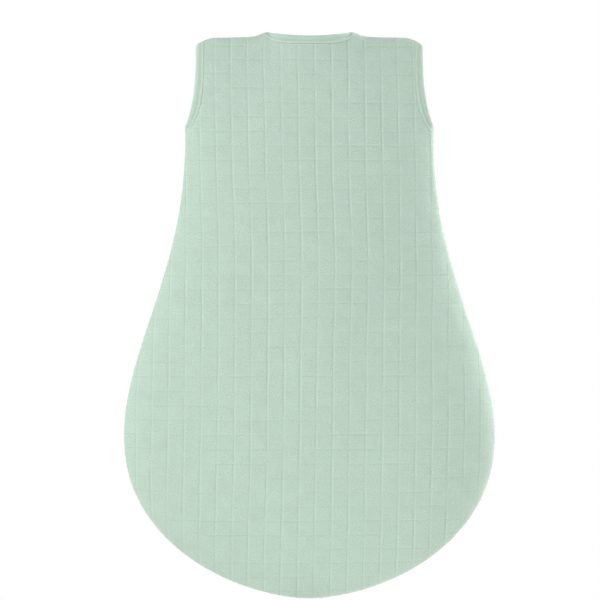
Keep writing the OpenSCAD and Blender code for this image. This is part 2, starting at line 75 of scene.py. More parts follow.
# armhole: its seam keeps inside the side seam, and reaches it at the armpit
ARMHOLE_TOP = -20.0
SEAM_BOTTOM = -ARMPIT_DROP - 8
ARM_INSIDE, ARM_POWER = 1.5, 4.6
ARM_OUT_FROM, ARM_OUT_RUN = 0.93, 0.07
ARM_GAPE = 20.0
TAPE_LOW, TAPE_LOW_FROM, TAPE_LOW_RUN = 3.0, 0.86, 0.14     # the binding's seam drawn down at the armpit
SEAM_HALF = NECK_HALF + BIND_W + 0.5
SEAM_CLEAR = 0.4                    # the back panel's neck edge below the binding's seam
SEAM_ROUND = 5                      # how square the neck seam turns into the shoulder
SHOULDER_SEAM_X = SHOULDER_HALF - BIND_W

# depth of the body, front and back
ZIP_Y = 26.0
BACK_CHEST, BACK_FOOT = 26.0, 50.0
BACK_FULL_FROM, BACK_FULL_RUN = 80, 380
SEAM_Y_HEM = 24.0
BACK_POWER, FRONT_POWER = 0.48, 6
BACK_ROLL, FRONT_ROLL, LEVEL_DROP = 110.0, 80.0, 110.0

# zip
TAPE_Y, TAPE_T, TAPE_IN, TAPE_OUT = ZIP_Y - 1.7, 0.6, 5.7, 17.0
PITCH, TOOTH_T, TOOTH_Z = 3.0, 2.6, 1.3
TOP_SLIDER_Z, BOTTOM_SLIDER_Z = -76.0, -655.0
ZIP_TOP, ZIP_FOOT = -64.0, -680.0
TAPE_FOOT = -699.6
CLOTH_X, LINING_X = 9.0, 17.5       # where outer cloth and lining stop beside the zip

# cloth
PANE_X, PANE_Z = 20.4, 17.7         # spacing of the windowpane's lines
PANE_PHASE = 5.9
LINING_IN = 1.35                    # the lining's middle below the outer cloth
ALLOWANCE, ALLOWANCE_T = 8, 1.3     # width and thickness of a seam's cloth inside
ALLOWANCE_IN = 1.65                 # how far inside the outline it starts
HEM_IN, HEM_BACK = ALLOWANCE_IN + 1.4, 2.5  # along the sides and foot: how far inside, and how far back


def clamp01(t):
    return np.clip(t, 0.0, 1.0)


def smooth(t):
    t = clamp01(t)
    return t * t * (3 - 2 * t)


def mix(a, b, t):
    return a + (b - a) * t


def bell(distance, width):
    return np.exp(-((distance / width) ** 2))


# ---------------------------------------------------------------- outline and body
# The CAD has the same rules. Its shoulder line and neck are 1.5 to 2.4 mm higher than these, and its armhole
# seam ends 3 mm higher.
def side_half(z):
    """Half width of the side seam at height z."""
    way = clamp01((-z - ARMPIT_DROP) / (HIP_Z - ARMPIT_DROP))
    above = mix(CHEST_HALF, HIP_HALF, smooth(way**HIP_EASE))
    below = HIP_HALF * np.maximum(0, 1 - clamp01((-z - HIP_Z) / FOOT) ** ROUND_Z) ** (1 / ROUND_X)
    return np.where(-z < HIP_Z, above, below)


def shoulder_top(x):
    """Height of the shoulder line."""
    a = np.abs(x)
    corner = clamp01((a - CORNER_X) / (SHOULDER_HALF - CORNER_X))
    line = SLOPE_Z - (a - SLOPE_X) / SLOPE_RUN + HUMP_HIGH * bell(a - HUMP_X, HUMP_HALF)
    rounded = mix(ARMHOLE_TOP, CORNER_TOP, (1 - corner**CORNER_POWER) ** (1 / CORNER_POWER))
    return np.where(a > CORNER_X, rounded, line)


def meet_top(x):
    """Height where front and back would meet: the shoulder line, and a dome over the neck opening."""
    dome = shoulder_top(NECK_HALF) + NECK_DOME * (1 - (x / NECK_HALF) ** 2)
    return np.where(np.abs(x) < NECK_HALF, dome, shoulder_top(x))


def arm_cut(t):
    """The armhole's bound edge, from the shoulder at 0 to the armpit at 1, as X and Z."""
    return mix(SHOULDER_HALF, CHEST_HALF, t**3), mix(ARMHOLE_TOP, -ARMPIT_DROP, t)


def arm_seam(t):
    """The seam beside that edge, the same way round."""
    x = mix(SHOULDER_SEAM_X, CHEST_HALF - ARM_INSIDE, t**ARM_POWER)
    x = x + ARM_INSIDE * smooth((t - ARM_OUT_FROM) / ARM_OUT_RUN)
    return x, mix(shoulder_top(SHOULDER_SEAM_X), SEAM_BOTTOM, t)


def panel_half(z):
    """Half width of a body panel: to the armhole seam above the armpit, and to the side seam below."""
    top = shoulder_top(SHOULDER_SEAM_X)
    return np.where(z > SEAM_BOTTOM, arm_seam(clamp01((z - top) / (SEAM_BOTTOM - top)))[0], side_half(z))


def section_half(z):
    """Half width of the body's own section, which reaches past the armhole's cut."""
    t = clamp01((ARMHOLE_TOP - z) / (ARMPIT_DROP + ARMHOLE_TOP))
    gape = ARM_GAPE * np.maximum(0, np.sin(math.pi * t)) ** 0.6
    return np.where(z > -ARMPIT_DROP, arm_cut(t)[0] + gape, side_half(z))


def fullness(x, z):
    """0 on the middle line and 1 on the seams."""
    foot = (np.abs(x) / HIP_HALF) ** ROUND_X + clamp01((-z - HIP_Z) / FOOT) ** ROUND_Z
    above = (np.abs(x) / np.maximum(section_half(z), 1e-6)) ** ROUND_X
    return np.minimum(1, np.where(-z > HIP_Z, foot, above))


def seam_y(z):
    return SEAM_Y_HEM * (np.maximum(0, -z + SEAM_BOTTOM) / (BAG_LENGTH + SEAM_BOTTOM)) ** 2


def roll(drop, height):
    """A quarter circle from 0 at the top edge to 1 at height below it."""
    return np.sqrt(1 - (1 - clamp01(drop / height)) ** 2)


def back_y(x, z):
    depth = mix(BACK_CHEST, BACK_FOOT, smooth((-z - BACK_FULL_FROM) / BACK_FULL_RUN))
    return seam_y(z) - depth * (1 - fullness(x, z)) ** BACK_POWER * roll(meet_top(x) - z, BACK_ROLL)


def front_y(x, z):
    depth = ZIP_Y - seam_y(z)
    return seam_y(z) + depth * np.sqrt(1 - fullness(x, z) ** FRONT_POWER) * roll(meet_top(x) - z, FRONT_ROLL)


def stack(x, y, z):
    return np.stack(np.broadcast_arrays(x, y, z), axis=-1).astype(float)


def back_point(x, z):
    return stack(x, back_y(x, z), z)


def front_point(x, z):
    return stack(x, front_y(x, z), z)


def neck_seam_back_z(x):
    low = -BACK_DROP - BIND_W - SEAM_CLEAR
    return mix(low, shoulder_top(SEAM_HALF), clamp01(np.abs(x) / SEAM_HALF) ** SEAM_ROUND)


def neck_seam_front_z(x):
    way = 1 - np.sqrt(1 - clamp01(np.abs(x) / SEAM_HALF) ** 2)
    return mix(-FRONT_DROP - BIND_W, shoulder_top(SEAM_HALF), way)


# ---------------------------------------------------------------- numbers that vary smoothly
NOISE_CELLS = 97
NOISE_START = (31.7, 17.3)


def noise(u, v, size, seed):
    """Smooth noise from -1 to 1 over the plane, with features about size wide."""
    n = NOISE_CELLS
    table = np.random.default_rng(seed).uniform(-1, 1, (n, n))
    a, b = u / size + NOISE_START[0], v / size + NOISE_START[1]
    i, j = np.floor(a).astype(int), np.floor(b).astype(int)
    s, t = smooth(a - i), smooth(b - j)
    low = table[i % n, j % n] * (1 - s) + table[(i + 1) % n, j % n] * s
    high = table[i % n, (j + 1) % n] * (1 - s) + table[(i + 1) % n, (j + 1) % n] * s
    return low * (1 - t) + high * t


def unit(v):
    return v / np.maximum(np.linalg.norm(v, axis=-1, keepdims=True), 1e-9)


def grid_normals(points):
    """Normals of a grid of points, pointing to cross(along the rows, down the columns)."""
    return unit(np.cross(np.gradient(points, axis=1), np.gradient(points, axis=0)))


def walked(line):
    """Distance along a line of points, from 0 at its first."""
    return np.concatenate([[0], np.cumsum(np.linalg.norm(np.diff(line, axis=0), axis=1))])


def along_line(at, walk, values):
    """Values given along a line, read off at other distances along it."""
    return np.stack([np.interp(at, walk, values[:, c]) for c in range(values.shape[1])], -1)


# ---------------------------------------------------------------- meshes
class Mesh:
    """Points and faces of one piece, gathered in millimetres."""

    def __init__(self):
        self.points, self.faces, self.uvs, self.count = [], [], [], 0

    def add(self, points, faces, uv=None):
        points = np.asarray(points, float).reshape(-1, 3)
        self.points.append(points)
        self.faces.extend([tuple(i + self.count for i in f) for f in faces])
        self.uvs.append(np.zeros((len(points), 2)) if uv is None else np.asarray(uv, float).reshape(-1, 2))
        self.count += len(points)
        return self

    def grid(self, points, uv=None, loop=False, flip=False):
        """A sheet from a grid of points; loop joins the last column to the first."""
        rows, cols = points.shape[:2]
        i, j = np.meshgrid(np.arange(rows - 1), np.arange(cols if loop else cols - 1), indexing="ij")
        a, b = i * cols + j, i * cols + (j + 1) % cols
        faces = np.stack([a, b, b + cols, a + cols], -1).reshape(-1, 4)
        return self.add(points, (faces[:, ::-1] if flip else faces).tolist(), uv)

    def tube(self, path, radius, sides=8, up=(0, 0, 1), flat=1.0):
        """A round tube along a path, closed at both ends; flat squeezes it across up."""
        path = np.asarray(path, float)
        radius = np.broadcast_to(radius, len(path))
        along = unit(np.gradient(path, axis=0))
        side = unit(np.cross(along, np.broadcast_to(np.asarray(up, float), along.shape)))
        top = np.cross(side, along)
        a = np.linspace(0, 2 * math.pi, sides, endpoint=False)
        ring = side[:, None] * np.cos(a)[None, :, None] + top[:, None] * np.sin(a)[None, :, None] * flat
        base = self.count
        self.grid(path[:, None] + ring * radius[:, None, None], loop=True)
        last = base + (len(path) - 1) * sides
        self.faces.append(tuple(base + k for k in range(sides)))
        self.faces.append(tuple(last + k for k in reversed(range(sides))))
        return self

    def plate(self, outline, y0, y1, bevel=0.2):
        """An outline in X and Z, anticlockwise, given thickness along Y, with bevelled rims."""
        outline = np.asarray(outline, float)
        before, after = np.roll(outline, 1, 0), np.roll(outline, -1, 0)
        e, f = unit(outline - before), unit(after - outline)
        n = unit(np.stack([e[:, 1] + f[:, 1], -e[:, 0] - f[:, 0]], -1))
        reach = bevel / np.maximum(0.5, (n * np.stack([e[:, 1], -e[:, 0]], -1)).sum(1))
        inner = outline - n * reach[:, None]
        soft = outline - n * reach[:, None] * 0.3
        layers = [(inner, y0), (soft, y0 + 0.3 * bevel), (outline, y0 + bevel),
                  (outline, y1 - bevel), (soft, y1 - 0.3 * bevel), (inner, y1)]
        points = np.stack([stack(p[:, 0], y, p[:, 1]) for p, y in layers])
        base, count = self.count, len(outline)
        self.grid(points, loop=True)
        self.faces.append(tuple(base + k for k in reversed(range(count))))
        self.faces.append(tuple(base + (len(layers) - 1) * count + k for k in range(count)))
        return self

    def moved(self, by):
        self.points = [p + np.asarray(by, float) for p in self.points]
        return self

    def mirrored(self, axis=0):
        """The same across a plane through the origin; in place, with the faces turned back outwards."""
        signs = [-1 if k == axis else 1 for k in range(3)]
        self.points = [p * signs for p in self.points]
        self.faces = [f[::-1] for f in self.faces]
        return self

    def swapped(self):
        """The same with X and Y swapped."""
        self.points = [p[:, [1, 0, 2]] for p in self.points]
        self.faces = [f[::-1] for f in self.faces]
        return self


def new_object(name, mesh, material, attributes=()):
    data = bpy.data.meshes.new(name)
    points = np.concatenate(mesh.points)
    data.from_pydata((points * MM).tolist(), [], mesh.faces)
    uv = np.concatenate(mesh.uvs)
    layer = data.uv_layers.new(name="cloth")
    corner = np.zeros(len(data.loops), np.int32)
    data.loops.foreach_get("vertex_index", corner)
    layer.data.foreach_set("uv", (uv[corner] * MM).astype(np.float32).ravel())
    for key, values in attributes:
        data.attributes.new(key, "FLOAT", "POINT").data.foreach_set("value", np.asarray(values, np.float32))
    data.materials.append(material)
    data.polygons.foreach_set("use_smooth", [True] * len(data.polygons))
    data.validate()
    data.update()
    obj = bpy.data.objects.new(name, data)
    bpy.context.scene.collection.objects.link(obj)
    return obj


def stand_in(obj, slot, *nodes):
    """Hides the CAD nodes that a piece stands for, if it has any."""
    if nodes:
        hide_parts(*nodes)


def fix(obj, body, slot, *nodes):
    """The same for a piece that rides on one body."""
    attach(obj, body)
    stand_in(obj, slot, *nodes)


def fold_blend(obj, side):
    """Bakes the piece's placement into its mesh."""
    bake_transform(obj)


def zip_blend(obj, side):
    """Bakes the piece's placement into its mesh."""
    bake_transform(obj)


# ---------------------------------------------------------------- materials
class Nodes:
    """A short way to write a node tree."""

    def __init__(self, name):
        self.material = bpy.data.materials.new(name)
        self.material.use_nodes = True
        self.tree = self.material.node_tree
        self.shader = self.tree.nodes["Principled BSDF"]

    def node(self, kind, inputs=None, **settings):
        made = self.tree.nodes.new("ShaderNode" + kind)
        for key, value in settings.items():
            setattr(made, key, value)
        for key, value in (inputs or {}).items():
            self.set(made.inputs[key], value)
        return made

    def set(self, socket, value):
        if isinstance(value, bpy.types.NodeSocket):
            self.tree.links.new(value, socket)
        else:
            socket.default_value = value

    def math(self, operation, a, b=0.0, c=0.0):
        return self.node("Math", {0: a, 1: b, 2: c}, operation=operation).outputs[0]

    def total(self, *terms):
        """Values added up, each times its weight."""
        added = None
        for value, weight in terms:
            part = self.math("MULTIPLY", value, weight)
            added = part if added is None else self.math("ADD", added, part)
        return added

    def wave(self, value, pitch):
        """-1 to 1 and back, once every pitch."""
        return self.math("SINE", self.math("MULTIPLY", value, 2 * math.pi / pitch))

    def noise(self, place, scale, detail, roughness=0.5, output="Fac"):
        inputs = {"Vector": place, "Scale": scale, "Detail": detail, "Roughness": roughness}
        return self.node("TexNoise", inputs).outputs[output]

    def colour(self, factor, a, b, blend_type="MIX"):
        inputs = {"Fac": factor, "Color1": a, "Color2": b}
        return self.node("MixRGB", inputs, blend_type=blend_type).outputs[0]

    def ramp(self, value, low, high):
        """From 0 at low to 1 at high."""
        return self.node("MapRange", {"Value": value, "From Min": low, "From Max": high}).outputs[0]

    def between(self, value, low, high):
        """From low at 0 to high at 1."""
        return self.node("MapRange", {"Value": value, "To Min": low, "To Max": high}).outputs[0]

    def cloth_mm(self):
        """The cloth's own coordinates in millimetres."""
        uv = self.node("UVMap", uv_map="cloth").outputs[0]
        return self.node("Mapping", {"Vector": uv, "Scale": (1 / MM, 1 / MM, 1 / MM)}).outputs[0]

    def threads(self, place):
        """How far across and along the cloth, as two values."""
        return self.node("SeparateXYZ", {"Vector": place}).outputs[:2]

    def spot(self):
        """The place on the object, in metres."""
        return self.node("TexCoord").outputs["Object"]

    def mark(self, name):
        """A value that new_object stored on the mesh."""
        return self.node("Attribute", attribute_name=name).outputs["Fac"]

    def finish(self, colour, roughness, bump=None, distance=0.0003, strength=1.0, **sockets):
        self.set(self.shader.inputs["Base Color"], colour)
        self.set(self.shader.inputs["Roughness"], roughness)
        if bump is not None:
            made = self.node("Bump", {"Height": bump, "Distance": distance, "Strength": strength})
            self.set(self.shader.inputs["Normal"], made.outputs["Normal"])
        for key, value in sockets.items():
            self.shader.inputs[key.replace("_", " ")].default_value = value
        return self.material


SAGE = (181.5, 202, 188.5)
ZINC, RUBBED_ZINC = (196, 199, 197), (226, 226, 222)
RIBBON_WHITE = (240, 240, 234)


def shade(colour, by):
    return tuple(min(255, c * by) for c in colour)


def tint(base, by=1.0):
    """An sRGB colour from 0 to 255, times a factor, as the linear colour that a shader takes."""
    def linear(c):
        c /= 255
        return c / 12.92 if c <= 0.04045 else ((c + 0.055) / 1.055) ** 2.4
    return (*(linear(c) for c in shade(base, by)), 1.0)


def gauze(name, base, thread, contrast=0.10, pane_lines_and_painted_light=True, crinkle=1.0):
    """Open plain weave: threads both ways, slubs, and darker woven lines where the two layers are caught,
    partly their denser weave and partly painted shade, with painted highlights beside them.
    """
    n = Nodes(name)
    mm = n.cloth_mm()
    slub = n.noise(mm, 0.35, 3.0)
    wander = n.noise(mm, 0.8, 2.0, output="Color")
    across, along = n.threads(n.colour(0.35, mm, wander, "ADD"))
    warp, weft = n.wave(across, thread), n.wave(along, thread)
    threads = n.math("MAXIMUM", n.math("ABSOLUTE", warp), n.math("ABSOLUTE", weft))
    fine = n.noise(mm, 1.7, 4.0, 0.7)
    broad = n.noise(mm, 0.05, 2.0)
    stretched = n.node("Mapping", {"Vector": mm, "Scale": (0.25, 1.6, 1.0)}).outputs[0]
    streaks = n.noise(stretched, 0.9, 3.0)
    tone = n.total((threads, 0.35), (fine, 0.45), (streaks, 0.35), (broad, 0.25))
    colour = n.colour(n.ramp(tone, 0.35, 1.05), tint(base, 1 - contrast), tint(base, 1 + contrast * 0.45))
    speck = n.noise(mm, 0.75, 1.5, 0.6)
    patch = n.math("MULTIPLY_ADD", n.ramp(n.noise(mm, 0.06, 2.0), 0.35, 0.6), 0.6, 0.25)
    colour = n.colour(n.math("MULTIPLY", n.ramp(speck, 0.52, 0.70), patch), colour, tint(base, 1.10))
    colour = n.colour(n.math("MULTIPLY", n.ramp(speck, 0.48, 0.30), patch), colour, tint(base, 0.90))
    if pane_lines_and_painted_light:
        # From the mesh's marks: darker along woven lines and seams, partly their denser weave and partly
        # painted shade in their grooves; lighter beside them, a painted highlight.
        colour = n.colour(n.math("MULTIPLY", n.mark("line"), 0.50), colour, tint(base, 0.86))
        colour = n.colour(n.math("MULTIPLY", n.mark("light"), 0.60), colour, tint(base, 1.08))
    grain = n.noise(mm, 0.62, 2.0, 0.6)
    height = n.total((threads, 0.5), (slub, 0.5), (fine, 0.6 * crinkle), (streaks, 0.5 * crinkle),
                     (grain, 2.6 * crinkle))
    return n.finish(colour, n.between(fine, 0.86, 0.98), height, distance=0.00035, strength=0.9,
                    Sheen_Weight=0.25, Sheen_Roughness=0.45, Specular_IOR_Level=0.25)


def twill(name, base, wale=0.9):
    """Herringbone tape, as zip tape and hanging loops are woven."""
    n = Nodes(name)
    mm = n.cloth_mm()
    across, along = n.threads(mm)
    slant = n.math("ADD", n.math("PINGPONG", across, 2.2), along)
    grain = n.noise(mm, 2.5, 3.0)
    height = n.total((n.wave(slant, wale), 0.5), (n.wave(along, 0.35), 0.2))
    tone = n.math("ADD", height, n.math("MULTIPLY", grain, 0.6))
    colour = n.colour(n.ramp(tone, -0.6, 1.1), tint(base, 0.86), tint(base, 1.05))
    return n.finish(colour, n.ramp(grain, -1.0, 1.2), height, distance=0.00015, strength=0.8,
                    Sheen_Weight=0.15, Sheen_Roughness=0.5, Specular_IOR_Level=0.3)


def thread_material(name, base):
    """Sewing thread, with its plies as a wave across it."""
    n = Nodes(name)
    inputs = {"Vector": n.spot(), "Scale": 900.0, "Distortion": 1.0}
    ply = n.node("TexWave", inputs, bands_direction="DIAGONAL").outputs["Fac"]
    colour = n.colour(ply, tint(base, 0.88), tint(base, 1.05))
    return n.finish(colour, n.ramp(ply, -1.0, 1.8), ply, distance=0.00008, Sheen_Weight=0.2)


def plastic(name, base):
    """Moulded plastic, nearly even, with a fine grain."""
    n = Nodes(name)
    spot = n.spot()
    mottle = n.noise(spot, 300.0, 3.0)
    grain = n.noise(spot, 4000.0, 2.0)
    colour = n.colour(mottle, tint(base, 0.95), tint(base, 1.03))
    return n.finish(colour, n.between(mottle, 0.26, 0.40), grain, distance=0.00002, Specular_IOR_Level=0.5)


def die_cast(name, base):
    """Cast zinc, rubbed brighter along its edges."""
    n = Nodes(name)
    spot = n.spot()
    fine = n.noise(spot, 2500.0, 3.0)
    wear = n.noise(spot, 220.0, 4.0)
    edge = n.ramp(n.node("NewGeometry").outputs["Pointiness"], 0.48, 0.58)
    worn = n.math("MULTIPLY", edge, n.ramp(wear, 0.35, 0.75))
    colour = n.colour(wear, tint(base, 0.92), tint(base))
    colour = n.colour(n.math("MULTIPLY", worn, 0.6), colour, tint(RUBBED_ZINC))
    return n.finish(colour, n.between(wear, 0.24, 0.40), fine, distance=0.00001, Metallic=1.0)


def satin(name, base):
    """Woven satin ribbon, blank, with faint cross threads."""
    n = Nodes(name)
    mm = n.cloth_mm()
    across, along = n.threads(mm)
    grain = n.noise(mm, 0.6, 3.0)
    height = n.total((n.wave(along, 0.3), 0.6), (n.wave(across, 0.22), 0.3))
    colour = n.colour(n.ramp(n.math("ADD", height, grain), -0.6, 1.6), tint(base, 0.93), tint(base))
    return n.finish(colour, n.ramp(grain, -1.2, 2.0), height, distance=0.00006,
                    Sheen_Weight=0.3, Anisotropic=0.4)


MUSLIN = gauze("muslin", SAGE, thread=0.62)
LINING = gauze("muslin lining", shade(SAGE, 1.04), thread=0.55, contrast=0.07, pane_lines_and_painted_light=False)
BINDING = gauze("bias binding", shade(SAGE, 1.005), thread=0.5, crinkle=0.7)
OVERLOCK = gauze("seam allowance", shade(SAGE, 1.03), thread=0.5, contrast=0.08, pane_lines_and_painted_light=False)
TAPE = twill("zip tape", shade(SAGE, 0.97))
LOOP_TAPE = twill("loop tape", SAGE, wale=0.8)
THREAD = thread_material("sewing thread", shade(SAGE, 1.05))
TEETH = plastic("moulded teeth", shade(SAGE, 1.04))
METAL = die_cast("die-cast metal", ZINC)
LABEL = satin("label ribbon", RIBBON_WHITE)


# ---------------------------------------------------------------- panels of gauze
ROW_SHAPE = 2 / ROUND_Z
DROPS = np.concatenate([
    LEVEL_DROP * np.linspace(0, 1, 45)[:-1] ** 1.7,
    np.linspace(LEVEL_DROP, HIP_Z, 81)[:-1],
    HIP_Z + FOOT * np.sin(np.radians(np.linspace(0, 90, 61))) ** ROW_SHAPE,
])
BACK_DOME, FRONT_DOME, TOP_DOME = 45, 17, 24    # depths of the domes that a flat panel makes room for
DOME_HALF = 215                     # the widest half width that they are worked out for


def row_z(drop, top):
    """Height of a row of the panel: it follows the top edge, and is level from LEVEL_DROP down."""
    return -drop + top * np.maximum(0, 1 - drop / LEVEL_DROP)


def dome_excess(profile, ratio, count=600):
    """Extra length of a domed section over its flat one, against the flat distance from 0 to 1."""
    s = np.sin(np.linspace(0, math.pi / 2, count))
    y = ratio * profile(s)
    length = np.concatenate([[0], np.cumsum(np.hypot(np.diff(s), np.diff(y)))])
    return s, length - s


def flat_place(points, back):
    """Where a point of a panel lay on the flat cloth, whose outline is larger by what the dome takes up."""
    x, z = points[..., 0], points[..., 2]
    full = fullness(x, z)
    if back:
        s, extra = dome_excess(lambda q: (1 - q**ROUND_X) ** BACK_POWER, BACK_DOME / HIP_HALF)
    else:
        s, extra = dome_excess(lambda q: np.sqrt(1 - q ** (ROUND_X * FRONT_POWER)), FRONT_DOME / HIP_HALF)
    out = np.interp(full ** (1 / ROUND_X), s, extra) * np.minimum(section_half(z), DOME_HALF)
    gx = np.sign(x) * (np.abs(x) / HIP_HALF) ** (ROUND_X - 1) * ROUND_X / HIP_HALF
    gz = -ROUND_Z * clamp01((-z - HIP_Z) / FOOT) ** (ROUND_Z - 1) / FOOT
    turn = np.hypot(gx, gz) + 1e-9
    top_s, top_extra = dome_excess(lambda q: np.sqrt(1 - q * q), TOP_DOME / BACK_ROLL)
    rise = np.interp(1 - clamp01((meet_top(x) - z) / BACK_ROLL), top_s, top_extra) * BACK_ROLL
    u = x + out * np.where(-z > HIP_Z, gx / turn, np.sign(x))
    v = z + out * np.where(-z > HIP_Z, gz / turn, 0) + rise * (1 - full)
    return np.stack([u, v], -1)


def back_grid():
    angle = np.radians(np.linspace(-90, 90, 161))
    half = panel_half(row_z(DROPS, shoulder_top(SHOULDER_SEAM_X)))
    x = half[:, None] * np.sin(angle)[None]
    top = np.where(np.abs(x) < SEAM_HALF, neck_seam_back_z(x), shoulder_top(x))
    points = back_point(x, row_z(DROPS[:, None], top))
    return points, flat_place(points, True)


# cloth turned under along the zip: across, out of the body, and across on the flat cloth
TURNED_UNDER = ((7.5, -1.25, -9.4), (4, -1.25, -5.9), (1.2, -1.25, -3.1), (0.3, -1.15, -2.1),
                (-0.25, -0.65, -1.2), (-0.1, -0.2, -0.6))
FRONT_LEAST = 1.5                   # narrowest row that a front keeps


def front_grid(edge, turned_under):
    """The right front from the zip to the side seam, with or without the cloth turned under along the zip."""
    half = panel_half(row_z(DROPS, shoulder_top(SHOULDER_SEAM_X)))
    keep = half > edge + FRONT_LEAST
    half, drops = half[keep], DROPS[keep]
    start = np.arcsin(edge / half)
    angle = start[:, None] + (math.pi / 2 - start)[:, None] * np.linspace(0, 1, 121)[None]
    x = half[:, None] * np.sin(angle)
    top = np.where(x < SEAM_HALF, neck_seam_front_z(x), shoulder_top(x))
    points = front_point(x, row_z(drops[:, None], top))
    flat = flat_place(points, False)
    if turned_under:
        first, lay = points[:, :1], flat[:, :1]
        points = np.concatenate([*[first + [dx, dy, 0] for dx, dy, _ in TURNED_UNDER], points], 1)
        flat = np.concatenate([*[lay + [du, 0] for _, _, du in TURNED_UNDER], flat], 1)
    return points, flat


def boundary(grid):
    return np.concatenate([grid[0], grid[1:, -1], grid[-1, ::-1], grid[::-1, 0]])


# steps across one pane, closest beside its woven line, and even ones for the linings
FINE_CELL = np.array([0, 0.7, 1.5, 3.2, 5.3, 7.7, 10.2, 12.7, 15.1, 17.2, 18.9, 19.7]) / PANE_X
COARSE_CELL = np.linspace(0, 1, 5)[:-1]
MARGIN = 6                          # how far the lines run on past the panel
ON_PANEL = 0.02                     # a point no further than this from the panel lies on it
RIM_STEP = 0.35


def lattice_steps(values, spacing, phase, cell):
    """Lines across the cloth, closest beside each woven line of the windowpane."""
    low, high = values.min() - MARGIN, values.max() + MARGIN
    first, last = math.floor((low - phase) / spacing), math.ceil((high - phase) / spacing)
    return np.concatenate([(k + cell) * spacing + phase for k in range(first, last)])


LEAN, LEAN_TURN, LEAN_START = 3.5, 1.35, 0.6


def lay_straight(f, g, seed):
    """Where the cloth's own threads run in the panel: nearly straight, leaning a little and wandering."""
    lean = LEAN * np.sin((g + BAG_LENGTH) / BAG_LENGTH * math.pi * LEAN_TURN - LEAN_START)
    u = f + lean + 1.3 * noise(f, g, 120, seed) + 0.45 * noise(f, g, 34, seed + 1)
    v = g + 2.0 * noise(f, g, 160, seed + 2) + 0.5 * noise(f, g, 40, seed + 3)
    return u, v


def cross2(a, b):
    return a[:, 0] * b[:, 1] - a[:, 1] * b[:, 0]


def flat_triangles(corners, rows, cols):
    """The flat panel's grid as triangles, without those that have no area."""
    i, j = np.meshgrid(np.arange(rows - 1), np.arange(cols - 1), indexing="ij")
    a = (i * cols + j).ravel()
    halves = (a, a + 1, a + cols + 1), (a, a + cols + 1, a + cols)
    triangles = np.concatenate([np.stack(half, 1) for half in halves])
    p, q, r = (corners[triangles[:, k]] for k in range(3))
    return triangles[np.abs(cross2(q - p, r - p)) > 1e-4]


def shares(corners, which, hit):
    """How much of each corner of its triangle a point takes."""
    p, q, r = (corners[which[:, k]] for k in range(3))
    e, d, h = q - p, r - p, hit - p
    full = cross2(e, d)
    wq, wr = cross2(h, d) / full, cross2(e, h) / full
    weights = np.clip(np.stack([1 - wq - wr, wq, wr], -1), 0, 1)
    return weights / weights.sum(1, keepdims=True)


def edge_distances(flat, hit):
    """For each point its distance from the panel's edge, and how far round the edge the nearest place is."""
    rim = boundary(flat)
    rim = rim[np.concatenate([[True], np.linalg.norm(np.diff(rim, axis=0), axis=1) > 1e-3])]
    walk = walked(rim)
    even = np.linspace(0, walk[-1], int(walk[-1] / RIM_STEP))
    rim = along_line(even, walk, rim)
    tree = KDTree(len(rim))
    for k, (x, y) in enumerate(rim):
        tree.insert((x, y, 0), k)
    tree.balance()
    nearest = [tree.find((x, y, 0)) for x, y in hit]
    return np.array([n[2] for n in nearest]), even[[n[1] for n in nearest]]


def drape(grid, flat, side, seed, outward, cell=FINE_CELL, depth=0.0, relief=1.0):
    """A panel as a fine mesh whose lines follow the windowpane, laid over the body.

    grid and flat are the body's points and their places on the flat cloth. outward is +1 or -1, the side of
    grid_normals that faces out. Returns the mesh and its attributes."""
    facing = (grid_normals(grid) * outward).reshape(-1, 3)
    corners, where = flat.reshape(-1, 2), grid.reshape(-1, 3) - facing * depth
    triangles = flat_triangles(corners, *grid.shape[:2])
    tree = BVHTree.FromPolygons([(x, y, 0) for x, y in corners], triangles.tolist(), all_triangles=True)
    f = lattice_steps(corners[:, 0], PANE_X, PANE_PHASE, cell)
    g = lattice_steps(corners[:, 1], PANE_Z, 0, cell)
    f, g = np.meshgrid(f, g)
    u, v = lay_straight(f, g, seed)
    found = [tree.find_nearest((x, y, 0)) for x, y in zip(u.ravel(), v.ravel())]
    hit = np.array([h[0][:2] for h in found])
    which = triangles[[h[2] for h in found]]
    inside = np.array([h[3] for h in found]).reshape(f.shape) < ON_PANEL
    weights = shares(corners, which, hit)[..., None]
    place = (where[which] * weights).sum(1)
    normal = unit((facing[which] * weights).sum(1))
    away, round_it = edge_distances(flat, hit)
    bound = place[:, 2] > SEAM_BOTTOM
    height, line, light = relief_of(f.ravel(), g.ravel(), away, round_it, hit, seed, relief, bound)
    place = place + normal * height[:, None]
    # keep the cells that touch the panel, and only their points
    used = inside[:-1, :-1] | inside[1:, :-1] | inside[:-1, 1:] | inside[1:, 1:]
    count = f.shape[1]
    i, j = np.nonzero(used)
    a = i * count + j
    quads = np.stack([a, a + 1, a + count + 1, a + count], 1)
    # rows run upwards here, so this order faces the way that grid_normals * outward does
    if outward * side > 0:
        quads = quads[:, ::-1]
    kept, quads = np.unique(quads, return_inverse=True)
    uv = np.stack([f.ravel(), g.ravel()], -1)[kept]
    mesh = Mesh().add(place[kept] * [side, 1, 1], quads.reshape(-1, 4).tolist(), uv)
    # marks for the material: line, darker woven lines with painted shade at lines and seams; light, painted
    # highlight beside them
    return mesh, [("line", line[kept]), ("light", light[kept])]


PUFF_CELLS, PUFF_LOW, PUFF_HIGH, PUFF_RISE = 151, 0.15, 0.75, 3.2   # how high each pane of the cloth swells
CRINKLE = ((0.15, 5.5, 1, 1.6, 13), (0.22, 13, 1.4, 1, 14), (0.12, 2.7, 1, 1, 15))
BILLOW = ((0.9, 85, 1.5, 1, 16), (0.55, 46, 1, 1, 17))
BESIDE_LINE = (1.3, 1.2)            # the cloth's highest place beside a woven line, across and along
GATHER_HALF, GATHER_TOP, GATHER_FOOT, GATHER_RUN = 34, -560, -690, 60
EDGE_RISE = 0.9                     # how fast the relief grows from an edge that has no binding
SETTLE = 9                          # how far from any edge the cloth lies freely
